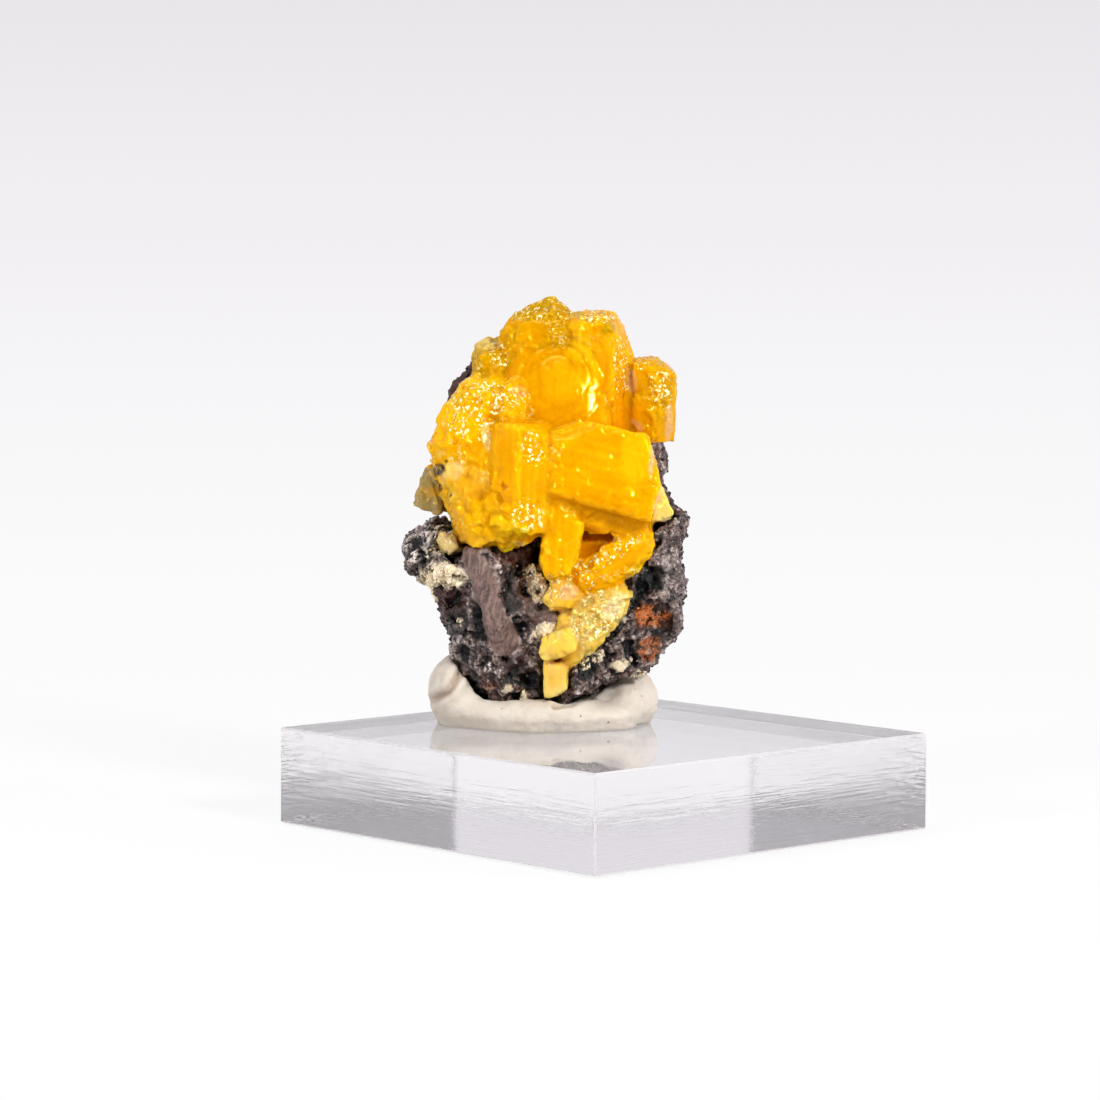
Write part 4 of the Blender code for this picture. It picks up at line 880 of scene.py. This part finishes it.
def strewn(host, name, mask, shape, material, values):
    tree, sockets = scatterTree(name + "Tree", mask, shape, material)
    piece = linked(name, host.data.copy())
    scatter = piece.modifiers.new("strewn", "NODES")
    scatter.node_group = tree
    for label, value in values.items():
        scatter[sockets[label]] = value
    plain(piece, name)
    print(name + ":", len(piece.data.polygons), "faces")
    return piece


looseSkin = {"voxel": 0.12, "rounding": 2, "swell": (1.2, 0.12), "grain": (0.4, 0.08), "facets": (0.9, 0.5)}


def makeLooseCrystal(node, name, tone):
    piece = remeshed(mergedCopy(node), name, looseSkin["voxel"])
    mesh = piece.data
    places = relaxed(mesh, placesOf(mesh), looseSkin["rounding"])
    setPlaces(mesh, places)
    normals = normalsOf(mesh)
    size, height = looseSkin["swell"]
    slow = grainField(places, size, 3.1)
    lift = slow * height
    size, height = looseSkin["grain"]
    quick = grainField(places, size, 8.8)
    lift = lift + quick * height
    size, steepness = looseSkin["facets"]
    lift = lift + facetField(places, size, 2.6) * steepness
    setPlaces(mesh, places + normals * lift[:, None])
    for key in crystalMasks:
        setMask(mesh, key, tone.get(key, 0.0) * np.clip(0.9 + slow * 0.9 + quick * 0.5, 0, 1))
    dress(mesh, resinousMimetite)
    return piece


for node, name, tone in (
        ("side_crystal", "sideCrystal", dict(olive=1.0, pale=0.65, dirt=0.45, glitter=0.35)),
        ("ledge_crystal", "ledgeCrystal", dict(pale=0.9, olive=0.6, dirt=0.25, glitter=0.5))):
    piece = makeLooseCrystal(node, name, tone)
    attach(piece, "root")
    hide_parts(node)
print("side and ledge crystals done")


rock = {  # sizes in mm
    "voxel": 0.18,
    "rounding": 3,         # rounds of smoothing
    "contact": (1.0, 0.42),  # how near the crystals it rises to meet them, and how much
    "lumps": (1.3, 0.8),   # size and height of the lumps
    "vugs": (0.85, 0.55),  # spacing and depth of the holes between the lumps
    "caves": (2.4, 0.7),   # and of the large holes
    "grain": (0.42, 0.2),
    "grit": (0.5, 0.25),
    "fibres": (0.22, 0.03),
    "knobs": (3.2, 0.4),   # size and steepness of the broad knobs behind
    "hollowDepth": 0.35,
    "rod": ((-10.8, -2.2, 15.6), (-8.2, -2.3, 7.6), 1.3),  # its ends and radius
    "bar": ((-7.2, -2.4, 11.3), (-3.5, -2.7, 9.0), 0.95),
}
rockPatches = {
    "rust": ((3.6, 9.6, 1.2, 1.2, 0, 0.9), (5.0, 9.2, 0.9, 0.9, 0, 0.9), (3.9, 6.9, 1.1, 1.2, 0, 0.75),
             (-9.4, 3.8, 1.2, 0.8, -50, 0.35)),
    "red": ((-13.0, 10.9, 1.8, 2.2, -20, 0.9), (-7.1, 14.3, 2.3, 0.8, -8, 0.9),
            (4.2, 5.5, 0.9, 0.5, 0, 0.6), (-9.6, 3.9, 1.3, 0.8, -50, 0.6),
            (-12.3, 15.5, 1.0, 0.8, 0, 0.5), (3.0, 9.0, 0.8, 1.8, 0, 0.5),
            (-12.4, 29.7, 2.0, 2.8, -35, 1.0)),
    "crust": ((-13.4, 12.8, 2.0, 1.1, -10, 1.0), (-14.4, 11.2, 0.5, 1.4, 20, 1.0),
              (-5.6, 12.3, 0.9, 1.6, 12, 1.0), (-4.7, 8.2, 1.4, 0.8, 10, 1.0),
              (-1.0, 6.0, 1.3, 0.6, 10, 1.0), (1.5, 5.5, 1.1, 0.55, 15, 1.0),
              (-6.8, 2.8, 0.45, 0.45, 0, 1.0), (1.6, 9.4, 0.5, 1.0, 0, 0.6),
              (-13.0, 15.6, 1.3, 1.3, 0, 0.8), (-8.0, 3.4, 0.5, 0.35, 0, 0.8),
              (-12.0, 9.0, 0.25, 0.5, 0, 0.8), (2.8, 4.4, 0.8, 0.4, 30, 0.8)),
    # hollows that are carved in and painted near-black as shade
    "hollowAndShade": ((-7.6, 10.8, 0.8, 1.2, 10, 0.9), (4.3, 12.2, 0.7, 0.6, 0, 0.9),
               (-12.3, 8.8, 1.1, 1.5, -25, 0.7), (-10.9, 4.2, 0.7, 0.7, 0, 0.7),
               (-13.2, 16.9, 0.8, 0.5, -40, 0.7)),
    "brown": ((-7.6, 5.6, 1.2, 1.2, 0, 0.8), (-13.0, 13.9, 0.5, 0.4, 0, 0.5)),
    "grey": ((-15.3, 15.4, 1.9, 1.5, 20, 1.0), (-12.6, 7.6, 0.8, 2.2, 20, 0.5),
             (5.6, 13.0, 1.2, 1.6, 0, 0.5)),
}


def nearLine(places, start, end, radius):
    a, b = np.array(start), np.array(end)
    t = np.clip((places - a) @ (b - a) / ((b - a) @ (b - a)), 0, 1)
    far = np.linalg.norm(places - a - np.outer(t, b - a), axis=1)
    return ramp(far, radius * 1.12, radius * 0.92)


def makeRock():
    piece = remeshed(mergedCopy("matrix"), "limoniteRock", rock["voxel"])
    mesh = piece.data
    places = placesOf(mesh)
    near = crystalFacts(places)[5]
    reach, rise = rock["contact"]
    places = places + normalsOf(mesh) * (ramp(near, reach, 0.35) * rise)[:, None]
    places = relaxed(mesh, places, rock["rounding"])
    setPlaces(mesh, places)
    normals = normalsOf(mesh)
    slow = grainField(places, 1.6, 1.7)
    quick = grainField(places, 0.5, 6.1)
    ragged = slow * 0.35 + quick * 0.35
    facing = ramp(-normals[:, 1], -0.5, 0.0)
    masks = {name: patches(places, spots, ragged, facing) for name, spots in rockPatches.items()}
    # behind, it breaks up in broad knobs with red and brown earth between them
    behind = ramp(places[:, 1], 1.5, 4.0)
    broad = grainField(places, 3.6, 8.3)
    masks["red"] = np.maximum(masks["red"], ramp(broad + quick * 0.3, 0.08, 0.3) * behind * 0.8)
    masks["brown"] = np.maximum(masks["brown"], ramp(quick * 0.3 - broad, 0.12, 0.35) * behind * 0.8)
    rod = nearLine(places, *rock["rod"])
    bar = nearLine(places, *rock["bar"])
    # its right flank is smooth, and so in part is its back
    flank = ramp(places[:, 0] + slow * 0.6, 4.6, 6.0) * ramp(places[:, 2], 17.0, 14.0)
    flank = flank + ramp(places[:, 1], 3.0, 6.0) * 0.35
    smooth = np.clip(np.maximum(np.maximum(rod, bar), np.clip(flank, 0, 0.5)), 0, 1)
    size, height = rock["lumps"]
    rough = (0.5 - cellField(places, size, 5.0)) * height
    size, depth = rock["vugs"]
    holes = ramp(grainField(places, size, 9.0), 0.02, 0.4) * depth
    size, depth = rock["caves"]
    holes = holes + ramp(grainField(places, size, 3.0), 0.15, 0.5) * depth
    size, height = rock["grain"]
    rough = rough - holes + grainField(places, size, 2.0) * height
    size, height = rock["grit"]
    rough = rough + (0.4 - cellField(places, size, 7.0)) * height
    size, height = rock["fibres"]
    fibres = grainField(places * (1, 1, 0.12) + slow[:, None] * 0.1, size, 1.0) * height
    lift = rough * (1 - smooth * 0.9) + fibres * smooth
    size, share = rock["knobs"]
    lift = lift * (1 - behind * share) + facetField(places, size, 2.2) * behind * share
    lift = lift - masks["hollowAndShade"] * rock["hollowDepth"]
    setPlaces(mesh, places + normals * lift[:, None])
    # painted highlight: the crests of the lumps are coloured light; the grey patches are the rock's own
    setMask(mesh, "greyAndCrestHighlight", ramp(lift, 0.05, 0.35) * (1 - smooth) * 0.85 + masks["grey"])
    # painted shade: the deepest places are coloured near-black
    deepestShade = np.maximum(masks["hollowAndShade"], ramp(lift, -0.12, -0.5) * (1 - smooth))
    setMask(mesh, "hollowAndShade", deepestShade)
    setMask(mesh, "gritty", (1 - smooth) * (1 - deepestShade * 0.6))
    setMask(mesh, "crusty", np.clip(masks["crust"] * 1.2, 0, 1))
    setMask(mesh, "rod", np.maximum(rod, bar * 0.6))
    # the sides of the rod and the crests of the lumps are frosted with fine crystals
    frost = np.maximum(rod * (1 - rod) * 3, ramp(lift, 0.2, 0.5) * (1 - smooth) * 0.8)
    setMask(mesh, "frost", frost * ramp(quick, -0.1, 0.4) * facing)
    setMask(mesh, "flank", np.clip(flank, 0, 1) * 0.8)
    for name in ("rust", "red", "crust", "brown"):
        setMask(mesh, name, masks[name] * ramp(masks[name] + quick * 0.9, 0.35, 0.6))
    dress(mesh, grainyLimonite)
    return piece


limoniteRock = makeRock()
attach(limoniteRock, "root")
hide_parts("matrix")
print("rock:", len(limoniteRock.data.polygons), "faces")

rockGrit = strewn(limoniteRock, "rockGrit", "gritty", grainShape, looseLimoniteGrain,
                  {"Per square mm": 2.6, "Smallest": 0.00006, "Largest": 0.0002, "Seed": 8})
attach(rockGrit, "root")
crustChips = strewn(limoniteRock, "crustChips", "crusty", chipShape, looseLimoniteGrain,
                    {"Per square mm": 9.0, "Smallest": 0.00009, "Largest": 0.00024, "Seed": 3})
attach(crustChips, "root")


putty = {  # sizes in mm
    "voxel": 0.22,
    "rounding": 6,          # rounds of smoothing
    "dents": (3.0, 0.22),   # size and height of the waves that kneading left
    "prints": (0.9, 0.09),  # and of the smaller ones
    "pressed": (0.75, 0.45),  # up to this height it is pressed down, and how much
    # creases: points as x and height in the front view, with depth and width
    "creases": ((((-11.7, 4.9), (-12.8, 3.1), (-14.1, 2.4)), 0.5, 0.28),
                (((0.2, 3.9), (-1.2, 2.9), (-2.6, 2.3), (-4.0, 2.1)), 0.4, 0.22)),
}


def nearPath(places, points):
    # how far each place is from a path in the front view
    x, h = places[:, 0], heightInView(places)
    best = np.full(len(places), 1e9)
    for (ax, ah), (bx, bh) in zip(points, points[1:]):
        t = np.clip(((x - ax) * (bx - ax) + (h - ah) * (bh - ah)) / ((bx - ax) ** 2 + (bh - ah) ** 2), 0, 1)
        best = np.minimum(best, np.hypot(x - ax - t * (bx - ax), h - ah - t * (bh - ah)))
    return best


def makePutty():
    piece = remeshed(mergedCopy("putty_pad"), "puttyPad", putty["voxel"])
    mesh = piece.data
    places = relaxed(mesh, placesOf(mesh), putty["rounding"])
    setPlaces(mesh, places)
    normals = normalsOf(mesh)
    size, height = putty["dents"]
    lift = grainField(places, size, 3.3) * height
    size, height = putty["prints"]
    lift = lift + grainField(places, size, 7.9) * height
    front = ramp(-normals[:, 1], 0.0, 0.3)
    creaseShade = np.zeros(len(places))
    for points, depth, width in putty["creases"]:
        far = nearPath(places, points)
        shadedValley = np.exp(-(far / width) ** 2) * front
        lips = np.exp(-((far - width * 2.2) / (width * 1.4)) ** 2) * front
        lift = lift - shadedValley * depth + lips * depth * 0.35
        creaseShade = np.maximum(creaseShade, shadedValley)
    places = places + normals * lift[:, None]
    # its rim is pressed flat on the slab
    upTo, down = putty["pressed"]
    z = places[:, 2]
    places[:, 2] = np.where(z < upTo, np.maximum(z - down * ramp(z, upTo, 0.3), 0.02), z)
    setPlaces(mesh, places)
    # painted shade: the creases are coloured darker
    setMask(mesh, "creaseShade", creaseShade * 0.6)
    dress(mesh, puttyFinish)
    return piece


puttyPad = makePutty()
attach(puttyPad, "root")
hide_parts("putty_pad")
print("putty:", len(puttyPad.data.polygons), "faces")


slab = {  # sizes in mm
    "side": 38.0, "thickness": 8.0,
    "bevel": 0.15,            # where a file broke the edges
    "across": 120, "up": 30,  # cuts along and up each side
    "sawWave": 0.012,
}


def sawWave(along, level, nx, ny):
    # how far the side that looks to nx, ny stands in, in mm: narrow waves and broad ones
    narrow = noise.noise((along * 0.05, level / 0.45, nx * 3 + ny * 5))
    broad = noise.noise((along * 0.13, level / 1.6, nx * 7 + ny * 2 + 9))
    ends = min(1.0, (slab["side"] / 2 - slab["bevel"] - abs(along)) / 1.5)  # none at the corners
    return slab["sawWave"] * ends * (narrow + 0.8 * broad)


def makeSlab():
    half, thick, bevel = slab["side"] / 2, slab["thickness"], slab["bevel"]
    across, up = slab["across"], slab["up"]
    corner = half - bevel
    bm = bmesh.new()
    # rings of points round the slab, from the lower face up to the upper face
    ring = []
    for s in range(4):
        a = math.radians(90 * s)
        c, sn = math.cos(a), math.sin(a)
        for i in range(across):
            u = -corner + 2 * corner * i / (across - 1)
            ring.append((u * c + half * sn, u * sn - half * c, c, sn))
    levels = [bevel + (thick - 2 * bevel) * j / up for j in range(up + 1)]
    rows = []
    for level in [0.0] + levels + [thick]:
        row = []
        for x, y, c, sn in ring:
            nx, ny = sn, -c
            inset = bevel if level in (0.0, thick) else sawWave(x * c + y * sn, level, nx, ny)
            row.append(bm.verts.new(((x - nx * inset) * 0.001, (y - ny * inset) * 0.001, level * 0.001)))
        rows.append(row)
    for r, (low, high) in enumerate(zip(rows, rows[1:])):
        for i in range(len(ring)):
            j = (i + 1) % len(ring)
            face = bm.faces.new((low[i], low[j], high[j], high[i]))
            filed = r in (0, len(rows) - 2) or i % across == across - 1
            face.material_index = 1 if filed else 0
    bm.faces.new(rows[0][::-1])
    bm.faces.new(rows[-1])
    bmesh.ops.recalc_face_normals(bm, faces=bm.faces)
    mesh = meshOf(bm, "acrylicSlab")
    piece = linked("acrylicSlab", mesh)
    below = -placesOf(mesh)[:, 2]  # under the upper face
    setMask(mesh, "sawn", ((below > 0.01) & (below < thick - 0.01)).astype(float))
    mesh.materials.append(acrylicFinish)
    mesh.materials.append(filedFinish)
    return piece


acrylicSlab = makeSlab()
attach(acrylicSlab, "root")
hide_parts("acrylic_slab")
print("slab:", len(acrylicSlab.data.polygons), "faces")


studio = {
    "level": 0.7,              # how bright the paper is
    "look": "High Contrast",
    "aim": (-4.0, 0.0, 18.0),  # what the lights look at, in the specimen's frame
    "floorRadius": 6.0,        # m
    "floorDrop": 0.0002,       # m under the slab, so that the two don't flicker
}


def makeFloor():
    bm = bmesh.new()
    bmesh.ops.create_circle(bm, cap_ends=True, segments=96, radius=studio["floorRadius"])
    mesh = meshOf(bm, "paleFloor")
    floor = linked("paleFloor", mesh)
    floor.location.z = -studio["floorDrop"]
    material, tree = blankMaterial("paleBackdropPaper")
    place = addNode(tree, "ShaderNodeTexCoord").outputs["Object"]
    far = addNode(tree, "ShaderNodeVectorMath", {0: place}, operation="LENGTH").outputs["Value"]
    # far / (far + 0.6 m) runs evenly up the picture
    beyond = addNode(tree, "ShaderNodeMath", {0: far, 1: 0.6}, operation="ADD").outputs[0]
    share = addNode(tree, "ShaderNodeMath", {0: far, 1: beyond}, operation="DIVIDE").outputs[0]
    farMask = addNode(tree, "ShaderNodeMapRange", {"Value": share, "From Min": 0.12, "From Max": 0.9})
    colour = layered(tree, linear("#FDFDFD"), ((linear("#F3F1F4"), farMask.outputs[0]),))
    glow = addNode(tree, "ShaderNodeEmission", {"Color": colour, "Strength": studio["level"]})
    paper = addNode(tree, "ShaderNodeBsdfDiffuse", {"Color": linear("#F4F3F4")})
    # close to the slab, a little of the paper itself shows, and the slab's shadow on it
    near = addNode(tree, "ShaderNodeMapRange", {"Value": far, "From Min": 0.05, "From Max": 0.2,
                                                "To Min": 0.15, "To Max": 0.0}).outputs[0]
    mixed = addNode(tree, "ShaderNodeMixShader", {0: near, 1: glow.outputs[0], 2: paper.outputs[0]})
    finish(tree, mixed.outputs[0])
    mesh.materials.append(material)


def makeWorld():
    world = bpy.data.worlds.new("softStudio")
    bpy.context.scene.world = world
    world.use_nodes = True
    tree = world.node_tree
    tree.nodes.clear()
    way = addNode(tree, "ShaderNodeTexCoord").outputs["Generated"]
    level = addNode(tree, "ShaderNodeSeparateXYZ", {0: way}).outputs["Z"]
    high = addNode(tree, "ShaderNodeMapRange", {"Value": level, "From Min": 0.0, "From Max": 0.05})
    seen = layered(tree, linear("#F3F1F4"), ((linear("#EBE9EC"), high.outputs[0]),))
    # the room is darker on the viewer's side
    viewer = (math.sin(stand["turn"]), -math.cos(stand["turn"]), 0.1)
    towards = addNode(tree, "ShaderNodeVectorMath", {0: way, 1: viewer}, operation="DOT_PRODUCT")
    room = addNode(tree, "ShaderNodeMapRange", {"Value": towards.outputs["Value"], "From Min": -0.4,
                                                "From Max": 0.5, "To Min": 0.62, "To Max": 0.1})
    fromCamera = addNode(tree, "ShaderNodeLightPath").outputs["Is Camera Ray"]
    lit = addNode(tree, "ShaderNodeBackground", {"Color": linear("#F6F4F8"), "Strength": room.outputs[0]})
    shown = addNode(tree, "ShaderNodeBackground", {"Color": seen, "Strength": studio["level"]})
    mixed = addNode(tree, "ShaderNodeMixShader", {0: fromCamera, 1: lit.outputs[0], 2: shown.outputs[0]})
    addNode(tree, "ShaderNodeOutputWorld", {"Surface": mixed.outputs[0]})


def softbox(name, direction, distance, size, watts, throughSlab=True):
    # throughSlab: whether the acrylic shows it
    light = bpy.data.lights.new(name, "AREA")
    light.shape = "RECTANGLE"
    light.size, light.size_y = size
    light.energy = watts
    lamp = bpy.data.objects.new(name, light)
    bpy.context.scene.collection.objects.link(lamp)
    target = Vector(toPart(np.array([studio["aim"]]))[0].tolist())
    way = Vector((turnMatrix @ unit(direction)).tolist())
    lamp.location = target + way * distance
    lamp.rotation_euler = way.to_track_quat("Z", "Y").to_euler()
    lamp.visible_camera = False
    lamp.visible_transmission = throughSlab


# the camera, solved from the slab's corners
view = {
    "roll": -0.29,               # degrees
    "distance": 353.78,          # mm before the middle of the slab's top
    "aside": -0.0124,            # how far to its right, as a share of the distance
    "above": 0.0422,
    "focal": 4266.0 / 1100,      # focal length as a share of the picture's width
}


def makeCamera():
    down, roll = math.radians(stand["viewDown"]), math.radians(view["roll"])
    up = Vector((0, math.sin(down), math.cos(down)))
    ahead = Vector((0, math.cos(down), -math.sin(down)))
    right = Vector((1, 0, 0))
    right, up = right * math.cos(roll) - up * math.sin(roll), right * math.sin(roll) + up * math.cos(roll)
    distance = view["distance"]
    position = right * (view["aside"] * distance) + up * (view["above"] * distance) - ahead * distance
    rotation = Matrix((right, up, -ahead)).transposed().to_4x4()
    turn = Matrix.Translation((0, 0, stand["slabTop"] * 0.001)) @ Matrix.Rotation(stand["turn"], 4, "Z")
    data = bpy.data.cameras.new("camera")
    data.sensor_width = 36.0
    data.lens = view["focal"] * data.sensor_width
    data.clip_start = 0.01
    camera = bpy.data.objects.new("camera", data)
    bpy.context.scene.collection.objects.link(camera)
    camera.matrix_world = turn @ Matrix.Translation(position * 0.001) @ rotation
    bpy.context.scene.camera = camera


makeFloor()
makeWorld()
softbox("keyLight", (0.6, -0.85, 0.5), 0.5, (0.08, 0.08), 1.15)
softbox("topLight", (-0.15, -0.2, 1.0), 0.45, (0.2, 0.2), 0.4)
softbox("fillLight", (-0.8, -0.75, 0.35), 0.5, (0.08, 0.1), 0.75)
softbox("sideLight", (1.0, -0.25, 0.25), 0.5, (0.1, 0.15), 0.35, throughSlab=False)
makeCamera()
bpy.context.scene.view_settings.view_transform = "Standard"
bpy.context.scene.view_settings.look = studio["look"]
print("stage, lights and camera done")
